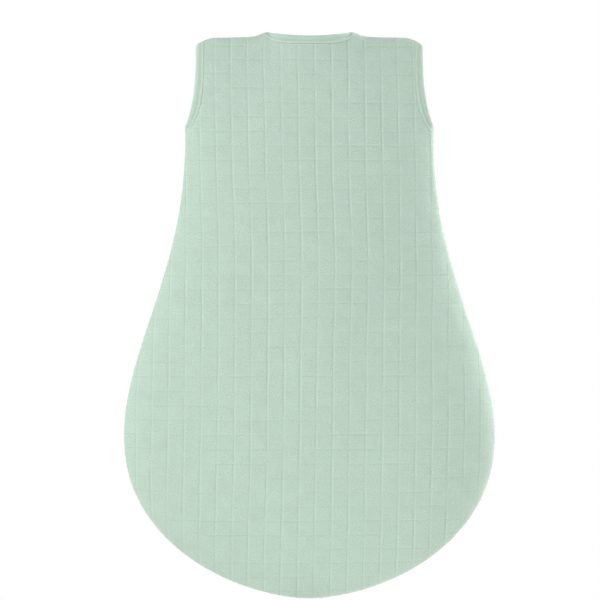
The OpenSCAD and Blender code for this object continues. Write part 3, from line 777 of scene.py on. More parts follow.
# puckers along the edges, each plain and then gathered: height, length, and reach into the cloth
PUCKER_HIGH, GATHER_HIGH = 0.28, 0.5
PUCKER_LONG, PUCKER_REACH = (7.5, 5.0), (7, 24)
PUCKER_WANDER, WANDER_SIZE = 2.5, 19
SEAM_SINK, SEAM_SWELL_AT, SEAM_SWELL_HALF = -0.22, 4, 5
BOUND_SWELL, HEM_SWELL = 0.1, 0.8


def waves(f, g, seed, table):
    """Noises added up: each row has a height, a size, a stretch both ways and a step of the seed."""
    return sum(high * noise(f * p, g * q, size, seed + step) for high, size, p, q, step in table)


def relief_of(f, g, away, round_it, hit, seed, relief, bound):
    """Height of the cloth above the smooth body, and how dark and how light its woven lines and bound seams
    are drawn: darker partly by their weave and partly by painted shade, lighter by painted highlight.

    f and g are on the cloth and hit is on the flat panel. away is the distance from the panel's edge, and
    round_it the way round it. bound is true above the armpits, where the edge has a binding."""
    a = f - PANE_PHASE - np.round((f - PANE_PHASE) / PANE_X) * PANE_X
    b = g - np.round(g / PANE_Z) * PANE_Z
    across = clamp01(0.72 + 0.45 * noise(f * 1.7, g, 26, seed + 10))
    down = clamp01(0.35 + 0.95 * noise(f, g * 1.6, 24, seed + 11))

    def woven(strong, weak, at=(0, 0), width=0.7):
        """A band along the woven lines, of one strength down the cloth and another across it."""
        return strong * across * bell(a - at[0], width) + weak * down * bell(b - at[1], width)

    cells = np.random.default_rng(seed + 12).uniform(PUFF_LOW, PUFF_HIGH, (PUFF_CELLS, PUFF_CELLS))
    pane_f, pane_g = np.floor((f - PANE_PHASE) / PANE_X).astype(int), np.floor(g / PANE_Z).astype(int)
    puff = cells[pane_f % PUFF_CELLS, pane_g % PUFF_CELLS]
    puff = puff * (1 - np.exp(-np.abs(a) / PUFF_RISE)) * (1 - np.exp(-np.abs(b) / PUFF_RISE))
    settle = 1 - np.exp(-away / SETTLE)
    below = clamp01((hit[:, 1] - GATHER_FOOT) / GATHER_RUN)
    gather = bell(hit[:, 0], GATHER_HALF) * np.exp(-below * 3) * (hit[:, 1] < GATHER_TOP)
    turns = round_it * 2 * math.pi / mix(*PUCKER_LONG, gather)
    turns = turns + PUCKER_WANDER * noise(round_it, 0 * f, WANDER_SIZE, seed + 18)
    pucker = (PUCKER_HIGH + GATHER_HIGH * gather) * np.sin(turns)
    pucker *= np.exp(-away / mix(*PUCKER_REACH, gather)) * (1 - np.exp(-away / 1.2))
    rim = 1 - np.exp(-away / EDGE_RISE)
    seam = np.where(bound, SEAM_SINK * np.exp(-away / 1.1), 0)
    seam = seam + np.where(bound, BOUND_SWELL, HEM_SWELL * rim) * bell(away - SEAM_SWELL_AT, SEAM_SWELL_HALF)
    groove, ridge = woven(-0.30, -0.17, width=0.6), woven(0.19, 0.09, BESIDE_LINE)
    small = groove + ridge + puff + waves(f, g, seed, CRINKLE)
    small = small * (0.25 + 0.75 * settle) * np.where(bound, 1, rim)
    total = relief * (small + pucker) + waves(f, g, seed, BILLOW) * settle + seam
    # line: darker along the woven lines, partly their denser weave and partly painted shade in their grooves,
    # and painted shade at a bound seam. light: painted highlight on the ridge beside each line and just
    # inside the seam.
    line = clamp01(woven(0.9, 0.6) + 0.7 * bound * bell(away, 0.5))
    light = clamp01(woven(0.9, 0.4, BESIDE_LINE) + 0.7 * bound * bell(away - 1.4, 0.7))
    return total, line, light


def surface_tree(obj):
    """The finished cloth as a tree, in millimetres, for what is sewn on it."""
    points = [v.co / MM for v in obj.data.vertices]
    return BVHTree.FromPolygons(points, [tuple(p.vertices) for p in obj.data.polygons])


LINING_LAY = {"cell": COARSE_CELL, "depth": LINING_IN, "relief": 0.25}


def make_back():
    grid, flat = back_grid()
    pieces = (("back_cloth", {}, MUSLIN, "muslin", "back_outer"),
              ("back_lining_cloth", LINING_LAY, LINING, "lining", "back_lining"))
    for name, lay, material, slot, node in pieces:
        mesh, marks = drape(grid, flat, 1, 11, outward=-1, **lay)
        cloth = new_object(name, mesh, material, marks)
        fix(cloth, "root", slot, node)


def make_front(side, word, seed):
    """One front and its lining; returns the outer cloth."""
    pieces = (("cloth", (CLOTH_X, True), {}, MUSLIN, "muslin", "outer"),
              ("lining_cloth", (LINING_X, False), LINING_LAY, LINING, "lining", "lining"))
    made = []
    for name, shape, lay, material, slot, node in pieces:
        grid, flat = front_grid(*shape)
        mesh, marks = drape(grid, flat, side, seed, outward=1, **lay)
        cloth = new_object(f"front_{word}_{name}", mesh, material, marks)
        fold_blend(cloth, side)
        stand_in(cloth, slot, f"front_{word}_{node}", f"lapel_{word}_{node}")
        made.append(cloth)
    return made[0]


make_back()
fronts = {word: make_front(side, word, seed) for (side, word), seed in zip(SIDES, (21, 31))}


# ---------------------------------------------------------------- bindings
def stitch_run(mesh, points, normals, length, gap, radius, sink=0.22):
    """A row of single stitches along points, each a short thread that dips into the cloth at both ends."""
    walk = walked(points)
    t = np.linspace(0, 1, 6)
    for k in range(int(walk[-1] // (length + gap))):
        at = k * (length + gap) + gap / 2 + t * length
        path, up = along_line(at, walk, points), unit(along_line(at, walk, normals))
        lift = radius * 0.7 - sink * (2 * t - 1) ** 4 * 2
        mesh.tube(path + up * lift[:, None], radius * (1 - 0.35 * (2 * t - 1) ** 6), sides=6, up=up[3])


BAND = np.array([
    # how far from the bound edge (0) to the seam (1), and how far out of the cloth
    (1.04, -0.35), (1.01, 0.08), (0.96, 0.38), (0.88, 0.60), (0.78, 0.70), (0.69, 0.62), (0.60, 0.34),
    (0.51, 0.62), (0.36, 0.86), (0.18, 0.92), (0.06, 0.78), (-0.02, 0.30), (-0.05, -0.55), (-0.03, -1.45),
    (0.06, -2.1), (0.22, -2.4), (0.45, -2.45), (0.70, -2.35), (0.90, -2.3), (1.02, -2.05),
])
BAND_SIZE = len(BAND)
STITCH_AT, STITCH_COLUMN, MIDDLE_COLUMN = 0.60, 6, 8
STITCH_STEP, STITCH_GAP = 2.9, 0.9
STITCH_OUT = 0.34
PROBE = 0.06                        # half the width over which a band's slope is measured
LINE_TURNS, NORMAL_TURNS = 16, 12   # how often a band's line and its normals are averaged
LUMP_HIGH, LUMP_SIZE = 0.14, 6.0
DIP_DEEP, DIP_HALF = 0.30, 0.12     # how the stitches pull the tape in, and let it swell beside its seam
SWELL_AT, SWELL_HIGH, SWELL_HALF = 0.9, 0.10, 0.1


def even_steps(surface, count, fine=4000, middle=0.4):
    """Places along a band at even steps of its length."""
    t = np.linspace(0, 1, fine)
    walk = walked(surface(t[:, None], np.full((fine, 1), middle))[:, 0])
    return np.interp(np.linspace(0, walk[-1], count), walk, t)


def eased(values, turns, closed):
    """Values averaged with their neighbours along a band, turn after turn, so that it rounds sharp bends."""
    for _ in range(turns):
        if closed:
            values = np.concatenate([values[-2:-1], values, values[1:2]])
        else:
            values = np.concatenate([2 * values[:1] - values[1:2], values, 2 * values[-1:] - values[-2:-1]])
        values = (values[:-2] + 2 * values[1:-1] + values[2:]) / 4
    return values


def bound_edge(surface, count, seed, outward, closed=False):
    """A folded tape over an edge: its points and marks, and the line of its stitching.

    surface(t, s) gives a point of the body for the way along, 0 to 1, and for s from the edge to the seam."""
    t, (s, out) = even_steps(surface, count), BAND.T

    def at(places):
        return surface(t[:, None], np.broadcast_to(places, (count, BAND_SIZE)))

    near = clamp01(s)
    low, high = clamp01(near - PROBE), clamp01(near + PROBE)
    across = (at(high) - at(low)) / (high - low)[:, None]
    where = eased(at(near) + across * (s - near)[:, None], LINE_TURNS, closed)
    facing = unit(np.cross(across, np.gradient(where, axis=0)))
    normal = unit(eased(facing, NORMAL_TURNS, closed)) * outward
    walk = walked(where[:, MIDDLE_COLUMN])[:, None]
    dip = 0.5 + 0.5 * np.cos(walk * 2 * math.pi / STITCH_STEP)
    lumps = LUMP_HIGH * noise(walk + 0 * s, 40 * s + 0 * walk, LUMP_SIZE, seed + 1)
    raised = out + lumps * (out > 0.1)
    raised = raised - DIP_DEEP * dip * bell(s - STITCH_AT, DIP_HALF) * (out > 0)
    raised = raised + SWELL_HIGH * dip * bell(s - SWELL_AT, SWELL_HALF) * (out > 0)
    seen = (out > -0.6).astype(float)
    # line: painted shade in the stitch holes and in the groove at the seam; light: painted highlight on the
    # swell beside the seam and on the fold at the bound edge.
    line = (0.15 + 0.5 * dip) * bell(s - STITCH_AT, 0.07) + bell(s - 1.03, 0.06)
    light = (0.5 + 0.5 * dip) * bell(s - 0.88, 0.08) + 0.7 * bell(s - 0.05, 0.08)
    stitched = normal[:, STITCH_COLUMN]
    uv = np.stack([walk * 0.7 + 12 * s, walk * 0.7 - 12 * s], -1)
    return {"points": where + normal * raised[..., None], "uv": uv,
            "line": line * seen, "light": light * seen,
            "path": where[:, STITCH_COLUMN] + stitched * STITCH_OUT, "up": stitched, "outward": outward}


def band_piece(name, band, first, last, closed=False, mirror=False):
    """One length of a bound edge as an object, and its stitching as another."""
    mesh, thread = Mesh(), Mesh()
    part = slice(first, last + 1)
    points = band["points"][part]
    mesh.grid(points, band["uv"][part], loop=True, flip=band["outward"] > 0)
    # line and light carry the binding's painted shade and painted highlight to its material
    marks = {key: band[key][part].ravel() for key in ("line", "light")}
    if not closed:
        ring = tuple(range(BAND_SIZE))
        for end, back in ((0, band["outward"] < 0), (-1, band["outward"] > 0)):
            mesh.add(points[end], [ring[::-1] if back else ring])
            marks = {key: np.append(values, np.zeros(BAND_SIZE)) for key, values in marks.items()}
    stitch_run(thread, band["path"][part], band["up"][part], STITCH_STEP - STITCH_GAP, STITCH_GAP, 0.2)
    if mirror:
        mesh.mirrored()
        thread.mirrored()
    return new_object(name, mesh, BINDING, marks.items()), new_object(name + "_stitches", thread, THREAD)


def ridge_bump(s):
    """How far the shoulder line stands above a straight line from neck edge to neck seam."""
    straight = mix(shoulder_top(NECK_HALF), shoulder_top(SEAM_HALF), s)
    return shoulder_top(mix(NECK_HALF, SEAM_HALF, s)) - straight


RIDGE_POWER, ARM_RIDGE_POWER = 8, 12    # how close to the shoulder ridge a band follows its bump


def neck_back(t, s):
    u = np.sin(np.radians(mix(90, -90, t)))
    x = mix(NECK_HALF, SEAM_HALF, s) * u
    edge = mix(-BACK_DROP, shoulder_top(NECK_HALF), u**2)
    seam = mix(-BACK_DROP - BIND_W, shoulder_top(SEAM_HALF), np.abs(u) ** SEAM_ROUND)
    return back_point(x, mix(edge, seam, s) + ridge_bump(s) * u**RIDGE_POWER)


BINDING_FROM_X = 5.8                # where the neck binding starts beside the zip


def neck_front(t, s):
    half = mix(NECK_HALF, SEAM_HALF, s)
    a = mix(np.arcsin(BINDING_FROM_X / half), math.pi / 2, t)
    edge = mix(-FRONT_DROP, shoulder_top(NECK_HALF), 1 - np.cos(a))
    seam = mix(-FRONT_DROP - BIND_W, shoulder_top(SEAM_HALF), 1 - np.cos(a))
    return front_point(half * np.sin(a), mix(edge, seam, s) + ridge_bump(s) * np.sin(a) ** RIDGE_POWER)


def neck_ring(t, s):
    """From the zip up the right front, across the back, and down the left front to the zip."""
    right, left = neck_front(clamp01(t * 3), s), neck_front(clamp01(3 - t * 3), s)
    back = neck_back(clamp01(t * 3 - 1), s)
    t = np.broadcast_to(t, right.shape[:2])[..., None]
    return np.where(t < 1 / 3, right, np.where(t > 2 / 3, left * [-1, 1, 1], back))


def armhole(t, s):
    """Once round the armhole, from the armpit up the back, over the shoulder and down the front."""
    way = (1 + np.cos(2 * math.pi * t)) / 2
    cut, seam = arm_cut(way), arm_seam(way)
    x, z = mix(cut[0], seam[0], s), mix(cut[1], seam[1], s)
    ridge = shoulder_top(mix(SHOULDER_HALF, SHOULDER_SEAM_X, s))
    z = z + (ridge - mix(ARMHOLE_TOP, shoulder_top(SHOULDER_SEAM_X), s)) * (1 - way) ** ARM_RIDGE_POWER
    z = z - TAPE_LOW * s * smooth((way - TAPE_LOW_FROM) / TAPE_LOW_RUN)
    return stack(x, np.where(t < 0.5, back_y(x, z), front_y(x, z)), z)


def nearest_step(line, x, z):
    """Which point of a line is nearest to a place on the front."""
    return int(np.argmin(np.linalg.norm(line - stack(x, front_y(x, z), z), axis=1)))


NECK_STEPS, ARM_STEPS = 480, 400
NECK_BACK_ENDS = ((53.0, -22.0), (-53.0, -22.0))    # X and Z where the front starts to fold


def make_bindings():
    band = bound_edge(neck_ring, NECK_STEPS, 61, outward=-1)
    # the back's length goes over the shoulders to the start of each front
    near = [nearest_step(band["path"], x, z) for x, z in NECK_BACK_ENDS]
    cloth, stitches = band_piece("neck_binding_back", band, *near)
    fix(cloth, "root", "binding", "neck_binding")
    fix(stitches, "root", "binding")
    for (side, word), ends in zip(SIDES, ((0, near[0]), (near[1], NECK_STEPS - 1))):
        cloth, stitches = band_piece(f"neck_binding_front_{word}", band, *ends)
        fold_blend(cloth, side)
        fold_blend(stitches, side)
        stand_in(cloth, "binding", f"neck_binding_end_{word}")
        stand_in(stitches, "binding")
        ring = bound_edge(armhole, ARM_STEPS, 67 + side, outward=-1, closed=True)
        name = f"armhole_binding_{word}_tape"
        cloth, stitches = band_piece(name, ring, 0, ARM_STEPS - 1, closed=True, mirror=side < 0)
        fix(cloth, "root", "binding", f"armhole_binding_{word}")
        fix(stitches, "root", "binding")


make_bindings()


# ---------------------------------------------------------------- sewn cloth with thickness
def ribbon(middle, thickness):
    """Cloth of some thickness from a grid of points, with rounded rims all round."""
    half = np.full((*middle.shape[:2], 1), thickness / 2)
    half[0], half[-1], half[:, 0], half[:, -1] = 0, 0, 0, 0
    down = np.cumsum(np.linalg.norm(np.diff(middle, axis=0, prepend=middle[:1]), axis=-1), axis=0)
    along = np.cumsum(np.linalg.norm(np.diff(middle, axis=1, prepend=middle[:, :1]), axis=-1), axis=1)
    uv = np.stack([along, down], -1)
    out = grid_normals(middle) * half
    return Mesh().grid(middle + out, uv).grid(middle - out, uv, flip=True)


def edged(count, rim):
    """Places from 0 to 1 with two extra ones close to each end, so that a ribbon's rim rounds off."""
    ends = np.array([0, rim * 0.35, rim])
    return np.concatenate([ends, np.linspace(rim, 1 - rim, count)[1:-1], 1 - ends[::-1]])


def hem_path(inset, count=220):
    """The side seam from one armpit round the foot to the other, drawn in by inset, as X and Z."""
    a = np.linspace(0, math.pi / 2, count // 2)
    sides = np.linspace(SEAM_BOTTOM - 4, -HIP_Z, count // 2)[:-1]
    x = np.concatenate([side_half(sides) - inset, (HIP_HALF - inset) * np.cos(a) ** (2 / ROUND_X)])
    z = np.concatenate([sides, -HIP_Z - (FOOT - inset) * np.sin(a) ** (2 / ROUND_Z)])
    return np.concatenate([-x, x[-2::-1]]), np.concatenate([z, z[-2::-1]])


def overlock(mesh, inner, outer, lift, spacing=2.6, radius=0.2):
    """Thread that zigzags over a raw edge between two lines."""
    walk = walked(inner)
    stops = np.arange(0, walk[-1], spacing / 2)
    inside, outside = along_line(stops, walk, inner), along_line(stops, walk, outer)
    path = np.where((np.arange(len(stops)) % 2)[:, None] == 0, inside, outside) + [0, lift, 0]
    mesh.tube(path, radius, sides=5, up=(0.01, 1, 0.02))


OVERLOCK_FROM, OVERLOCK_OUT = 4, 0.72   # the column where the zigzag starts, and how far it stands out


def make_hem_allowance():
    wide = HEM_IN + ALLOWANCE * edged(5, 0.06)
    lines = [hem_path(i) for i in wide]
    x, z = np.stack([p[0] for p in lines], 1), np.stack([p[1] for p in lines], 1)
    wave = 0.5 * noise(np.arange(len(x))[:, None] * 3.0, x * 0, 14, 81) * ((wide - HEM_IN) / ALLOWANCE)[None]
    middle = stack(x, seam_y(z) - HEM_BACK + wave, z)
    mesh = ribbon(middle, ALLOWANCE_T)
    for lift in (OVERLOCK_OUT, -OVERLOCK_OUT):
        overlock(mesh, middle[:, OVERLOCK_FROM], middle[:, -1], lift)
    fix(new_object("side_and_foot_seam_allowance", mesh, OVERLOCK), "root", "overlock", "hem_seam")


def make_shoulder_allowance(side, word):
    x = np.linspace(SEAM_HALF + 3, CORNER_X - 2, 40)[:, None]
    drop = ALLOWANCE_IN + 0.5 + ALLOWANCE * edged(5, 0.06)[None]
    wave = 0.4 * noise(x * 3, drop, 14, 83) * (drop - 2) / ALLOWANCE
    middle = stack(x, wave, shoulder_top(x) - drop)
    mesh = ribbon(middle, ALLOWANCE_T)
    overlock(mesh, middle[:, OVERLOCK_FROM], middle[:, -1], OVERLOCK_OUT)
    if side < 0:
        mesh.mirrored()
    cloth = new_object(f"shoulder_allowance_{word}", mesh, OVERLOCK)
    fix(cloth, "root", "overlock", f"shoulder_seam_{word}")


make_hem_allowance()
for side_sign, side_word in SIDES:
    make_shoulder_allowance(side_sign, side_word)


# ---------------------------------------------------------------- zip
def smooth_outline(points, turns=2):
    """Corners rounded by cutting each one off, turn after turn."""
    p = np.asarray(points, float)
    for _ in range(turns):
        after = np.roll(p, -1, 0)
        p = np.stack([p * 0.75 + after * 0.25, p * 0.25 + after * 0.75], 1).reshape(-1, 2)
    return p


def box(x0, x1, z0, z1):
    """Corners of an upright rectangle, anticlockwise from its lower left."""
    return [(x0, z0), (x1, z0), (x1, z1), (x0, z1)]


TOOTH_UNDER = [(-1.1, -0.34), (-0.85, -0.56), (-0.2, -0.62), (0.3, -0.46), (1.7, -0.46), (2.0, -0.63),
               (3.1, -0.63)]
TOOTH = np.array(TOOTH_UNDER + [(x, -z) for x, z in TOOTH_UNDER[::-1]])
TOOTH_TOP, TOOTH_FOOT = TOP_SLIDER_Z - 1.5, -655.5
TOOTH_Y0, TOOTH_Y1 = TAPE_Y - TOOTH_T / 2, TAPE_Y + TOOTH_T / 2
CORD_X, CORD_R, CORD_FLAT = 4.05, 1.45, 0.5
TAPE_TOP_IN, TAPE_TOP_OUT, TAPE_FOOT_RISE = -68.6, -67.4, 1.3
CLOSED_X, CLOSED_ABOVE = 0.12, 10   # the tapes' gap at the foot, and how far above the zip's foot they close
TAPE_UNDER, HEM_UNDER, HEM_FROM, HEM_RUN = 1.6, 0.35, -690, 9
STOP_X, STOP_HEIGHT, STOP_T = (3.1, 5.1), 3.4, 1.3
TOP_STOP_Z, BOTTOM_STOP_Z = -66.0, -664.0
TOPSTITCH_X, TOPSTITCH_Z = 11.6, (-76, -674)


def tooth_row(side):
    """One side's teeth; the left ones stand half a pitch lower."""
    first = TOOTH_TOP - (0 if side > 0 else PITCH / 2)
    row = Mesh()
    for k in range(int((first - TOOTH_FOOT - TOOTH_Z / 2) // PITCH) + 1):
        row.plate(TOOTH + [0, first - k * PITCH], TOOTH_Y0, TOOTH_Y1, bevel=0.22)
    return row


def tape_cord():
    z = np.linspace(ZIP_TOP - 0.5, ZIP_FOOT + 0.5, 300)
    return Mesh().tube(stack(CORD_X, TAPE_Y, z), CORD_R, sides=12, up=(0, 1, 0), flat=CORD_FLAT)


def zip_tape():
    """One side's tape: flat behind the teeth, then under the front's cloth, down to the foot seam."""
    across = edged(9, 0.04)[None]
    down = np.concatenate([np.linspace(0, 0.965, 232), np.linspace(0.967, 1, 36)])[:, None]
    z = mix(mix(TAPE_TOP_IN, TAPE_TOP_OUT, across), mix(TAPE_FOOT, TAPE_FOOT + TAPE_FOOT_RISE, across), down)
    x = mix(mix(TAPE_IN - 0.4, CLOSED_X, smooth((ZIP_FOOT + CLOSED_ABOVE - z) / 2)), TAPE_OUT, across)
    under = mix(TAPE_UNDER, HEM_UNDER, smooth((HEM_FROM - z) / HEM_RUN))
    rest = np.minimum(TAPE_Y, front_y(np.maximum(x, CLOTH_X), z) - under)
    return ribbon(stack(x, rest + 0.12 * noise(x, z, 40, 91), z), TAPE_T)


def stitches_facing_out(mesh, path, length, gap, radius):
    stitch_run(mesh, path, np.broadcast_to([0.0, 1.0, 0.0], path.shape), length, gap, radius)


def zip_topstitch(side, word):
    """The row of stitches that holds the front to the tape, laid on the finished cloth."""
    tree = surface_tree(fronts[word])
    x, z = side * TOPSTITCH_X, np.linspace(*TOPSTITCH_Z, 400)
    ray = [tree.ray_cast(Vector((x, 60, h)), Vector((0, -1, 0))) for h in z]
    path = np.array([[*hit[0]] if hit[0] else [x, ZIP_Y, h] for hit, h in zip(ray, z)])
    thread = Mesh()
    stitches_facing_out(thread, path, 2.4, 0.8, 0.19)
    return thread


def stop_block(top):
    y = TAPE_Y + TAPE_T / 2 + 0.05
    return Mesh().plate(smooth_outline(box(*STOP_X, top - STOP_HEIGHT, top), 1), y, y + STOP_T, bevel=0.3)


def make_zip_side(side, word):
    pieces = ((tooth_row(side), "zip_teeth", TEETH, "teeth", zip_blend, True),
              (tape_cord(), "zip_cord", TAPE, "tape", zip_blend, False),
              (zip_tape(), "zip_tape", TAPE, "tape", fold_blend, True))
    for mesh, kind, material, slot, blend, in_cad in pieces:
        if side < 0:
            mesh.mirrored()
        obj = new_object(f"{kind}_{word}", mesh, material)
        blend(obj, side)
        stand_in(obj, slot, *([f"{kind}_{word}_upper", f"{kind}_{word}_lower"] if in_cad else []))
    obj = new_object(f"zip_topstitch_{word}", zip_topstitch(side, word), THREAD)
    fold_blend(obj, side)
    stand_in(obj, "muslin")
    stops = (("top", TOP_STOP_Z, f"lapel_{word}", f"zip_top_stop_{word}"),
             ("bottom", BOTTOM_STOP_Z, "root", "zip_bottom_stops"))
    for end, z, body, node in stops:
        mesh = stop_block(z)
        if side < 0:
            mesh.mirrored()
        fix(new_object(f"zip_{end}_stop_block_{word}", mesh, TEETH), body, "teeth", node)


CHIN_X, CHIN_Z, CHIN_Y, CHIN_T = (-9.5, 8.5), (-72.4, -58), 27.95, 1.15
CHIN_STITCH_IN, CHIN_STITCH_OUT = 1.6, 0.43
GUARD_X, GUARD_Z, GUARD_Y, GUARD_T = (-15, 5), (-70, -640), 20.8, 1.0


def cushion(x_ends, z_ends, y, thickness, seed, rim=6):
    """A small quilted tab: two faces that meet round the rim, drawn in along a row of stitches."""
    (x0, x1), (z0, z1) = x_ends, z_ends
    across, down = np.radians(np.linspace(-90, 90, 45)), np.radians(np.linspace(90, -90, 37))
    u, v = np.meshgrid(np.sin(across), np.sin(down))
    corner = 1 - 0.06 * np.abs(u * v) ** 4
    x, z = mix(x0, x1, (u * corner + 1) / 2), mix(z0, z1, (v * corner + 1) / 2)
    puff = thickness / 2 * (1 - np.abs(u) ** rim) ** 0.5 * (1 - np.abs(v) ** rim) ** 0.5
    inset = np.minimum((1 - np.abs(u)) * (x1 - x0), (1 - np.abs(v)) * (z1 - z0)) / 2
    puff = puff - 0.16 * bell(inset - CHIN_STITCH_IN, 0.5)
    wrinkle = 0.07 * noise(x * 1.3, z, 4.5, seed)
    uv = np.stack([x, z], -1)
    mesh = Mesh().grid(stack(x, y + puff + wrinkle, z), uv)
    return mesh.grid(stack(x, y - puff + wrinkle, z), uv, flip=True)


def chin_stitches():
    i = CHIN_STITCH_IN
    corners = box(CHIN_X[0] + i, CHIN_X[1] - i, CHIN_Z[0] + i, CHIN_Z[1] - i)[::-1]
    thread = Mesh()
    for a, b in zip(corners, corners[1:] + corners[:1]):
        path = np.linspace(a, b, 30)
        path = stack(path[:, 0], CHIN_Y + CHIN_STITCH_OUT, path[:, 1])
        stitches_facing_out(thread, path, 1.9, 0.6, 0.17)
    return thread


def make_guards():
    tab = new_object("chin_guard_tab", cushion(CHIN_X, CHIN_Z, CHIN_Y, CHIN_T, 95), BINDING)
    fix(tab, "chin_flap", "muslin", "chin_guard")
    fix(new_object("chin_guard_tab_stitches", chin_stitches(), THREAD), "chin_flap", "muslin")
    x, z = mix(*GUARD_X, edged(6, 0.05)[None]), np.linspace(*GUARD_Z, 200)[:, None]
    middle = stack(x, GUARD_Y + 0.15 * noise(x, z, 30, 97), z)
    strip = new_object("zip_guard_strip", ribbon(middle, GUARD_T), LINING)
    zip_blend(strip, -1)
    stand_in(strip, "lining", "zip_guard_upper", "zip_guard_lower")


# ---------------------------------------------------------------- sliders
def both_sides(right):
    """An outline from its right half, given from bottom to top."""
    left = [(-x, z) for x, z in right[::-1]]
    return left[-1:] + right + left[:-1]


WING = smooth_outline(both_sides([(3.9, -6), (4.6, -3.6), (4.9, -1), (5.0, 3.4), (4.4, 6), (1.6, 6.1)]))
CHANNEL, WING_T, SLOT, PIN_OUT, PIN_R = 3.0, 1.0, 0.8, 4.5, 0.7
BASE = CHANNEL / 2 + WING_T         # the outer face of a wing
EAR_X, EAR_T, EAR_FOOT, EAR_ROUND = 2.9, 0.8, 2.2, (1.6, 1.7)
WALL = box(3.35, 3.95, -5.2, 3.8)
WEDGE = [(-0.4, 1.6), (0.4, 1.6), (1.7, 5.6), (-1.7, 5.6)]
LEAF = box(-0.7, 0.7, -4, 2.5)
TAB_LENGTH, TAB_T, HOLE_R, HOLE_UP = 26.0, 1.2, 1.8, 6.5
EYE_HALF, EYE_R = 1.4, 1.42


def slider_body():
    """Two wings, two walls with the slot for the tape between them, and the wedge."""
    parts = [Mesh().plate(WING, CHANNEL / 2, BASE, 0.4), Mesh().plate(WING, -BASE, -CHANNEL / 2, 0.4)]
    for s in (-1, 1):
        wall = smooth_outline(WALL if s > 0 else [(-x, z) for x, z in WALL[::-1]], 1)
        parts.append(Mesh().plate(wall, SLOT / 2, CHANNEL / 2 + 0.3, 0.12))
        parts.append(Mesh().plate(wall, -CHANNEL / 2 - 0.3, -SLOT / 2, 0.12))
    parts.append(Mesh().plate(smooth_outline(WEDGE, 1), -CHANNEL / 2 - 0.5, CHANNEL / 2 + 0.5, 0.1))
    return merge(parts)


def slider_bridge():
    """Two ears and the pin between them."""
    a = np.radians(np.linspace(0, 180, 15))[::-1]
    arc = [(PIN_OUT + EAR_ROUND[0] * math.sin(t), EAR_ROUND[1] * math.cos(t)) for t in a]
    ear = [(BASE - 0.05, -EAR_FOOT)] + arc + [(BASE - 0.05, EAR_FOOT)]
    parts = [Mesh().plate(ear, x, x + EAR_T, 0.18).swapped() for x in (EAR_X - EAR_T, -EAR_X)]
    pin = [(x, PIN_OUT, 0) for x in np.linspace(-EAR_X - 0.15, EAR_X + 0.15, 6)]
    return merge(parts + [Mesh().tube(pin, PIN_R, sides=20)])


def slider_lock():
    """The sprung leaf and the pin that drops between the teeth."""
    leaf = Mesh().plate(smooth_outline(LEAF, 1), BASE + 0.08, BASE + 0.42, 0.1)
    pin = [(0, y, -3.2) for y in np.linspace(CHANNEL / 2 + 0.1, BASE + 0.3, 4)]
    return merge([leaf, Mesh().tube(pin, 0.5, sides=12)])


def merge(meshes):
    out = Mesh()
    for m in meshes:
        out.add(np.concatenate(m.points), m.faces, np.concatenate(m.uvs))
    return out


TAB_LEFT = [(-1.4, -4.6), (-1.5, -6.2), (-3.3, -9.2), (-3.6, -16), (-3.6, -22.6), (-2.6, -25.6)]
TAB = smooth_outline(TAB_LEFT + [(0, -26.1)] + [(-x, z) for x, z in TAB_LEFT[::-1]])


def tab_plate():
    """The tab's plate: its outline, in steps inward on one face to the rimmed hole, and back on the other."""
    hole_z, h = -TAB_LENGTH + HOLE_UP, TAB_T / 2
    fine = np.linspace(0, 1, 145)[:-1]
    outline = along_line(fine, np.linspace(0, 1, len(TAB) + 1), np.concatenate([TAB, TAB[:1]]))
    away = outline - [0, hole_z]
    angle = np.arctan2(away[:, 1], away[:, 0])
    ring, edge = np.stack([np.cos(angle), np.sin(angle)], -1), -unit(away)
    # how far in from the outline, and how far below the face
    rounded = ((0.55, 0), (0.2, 0.1), (0, 0.35))
    layers = [(outline + edge * inward, h - low) for inward, low in rounded]
    layers += [(outline + edge * inward, -h + low) for inward, low in rounded[::-1]]
    # how far out from the hole, and how far above the face
    rim = ((1.0, 0), (0.8, 0.14), (0.25, 0.14), (0, -0.1))
    layers += [(ring * (HOLE_R + out) + [0, hole_z], -h - high) for out, high in rim]
    layers += [(ring * (HOLE_R + out) + [0, hole_z], h + high) for out, high in rim[::-1]]
    points = np.stack([stack(p[:, 0], PIN_OUT + y, p[:, 1]) for p, y in layers + layers[:1]])
    return Mesh().grid(points, loop=True)


def pull_tab():
    """Tab with an eye round the pin, open towards the slider, hanging from the pin."""
    a, inner = np.radians(np.linspace(-150, 150, 25)), PIN_R + 0.12
    arc = [(PIN_OUT + EYE_R * math.cos(t), EYE_R * math.sin(t)) for t in a]
    arc += [(PIN_OUT + inner * math.cos(t), inner * math.sin(t)) for t in a[::-1]]
    eye = Mesh().plate(arc[::-1], -EYE_HALF, EYE_HALF, 0.12).swapped()
    neck = smooth_outline(box(-EYE_HALF, EYE_HALF, -6, -1.0), 1)
    return merge([tab_plate(), eye, Mesh().plate(neck, PIN_OUT - TAB_T / 2, PIN_OUT + TAB_T / 2, 0.2)])


def make_sliders():
    """The top slider has its wedge end up, and the bottom one its wedge end down."""
    for word, height in (("top", TOP_SLIDER_Z), ("bottom", BOTTOM_SLIDER_Z)):
        for kind, make in (("body", slider_body), ("bridge", slider_bridge), ("lock", slider_lock)):
            mesh = make()
            if word == "bottom":
                mesh.mirrored(axis=2)
            obj = new_object(f"zip_slider_{kind}_{word}", mesh.moved([0, TAPE_Y, height]), METAL)
            fix(obj, f"zip_slider_{word}", "slider", f"{word}_slider_{kind}")
        obj = new_object(f"zip_pull_{word}_tab", pull_tab().moved([0, TAPE_Y, height]), METAL)
        fix(obj, f"zip_pull_{word}", "slider", f"{word}_pull_tab")


for side_sign, side_word in SIDES:
    make_zip_side(side_sign, side_word)
make_guards()
make_sliders()


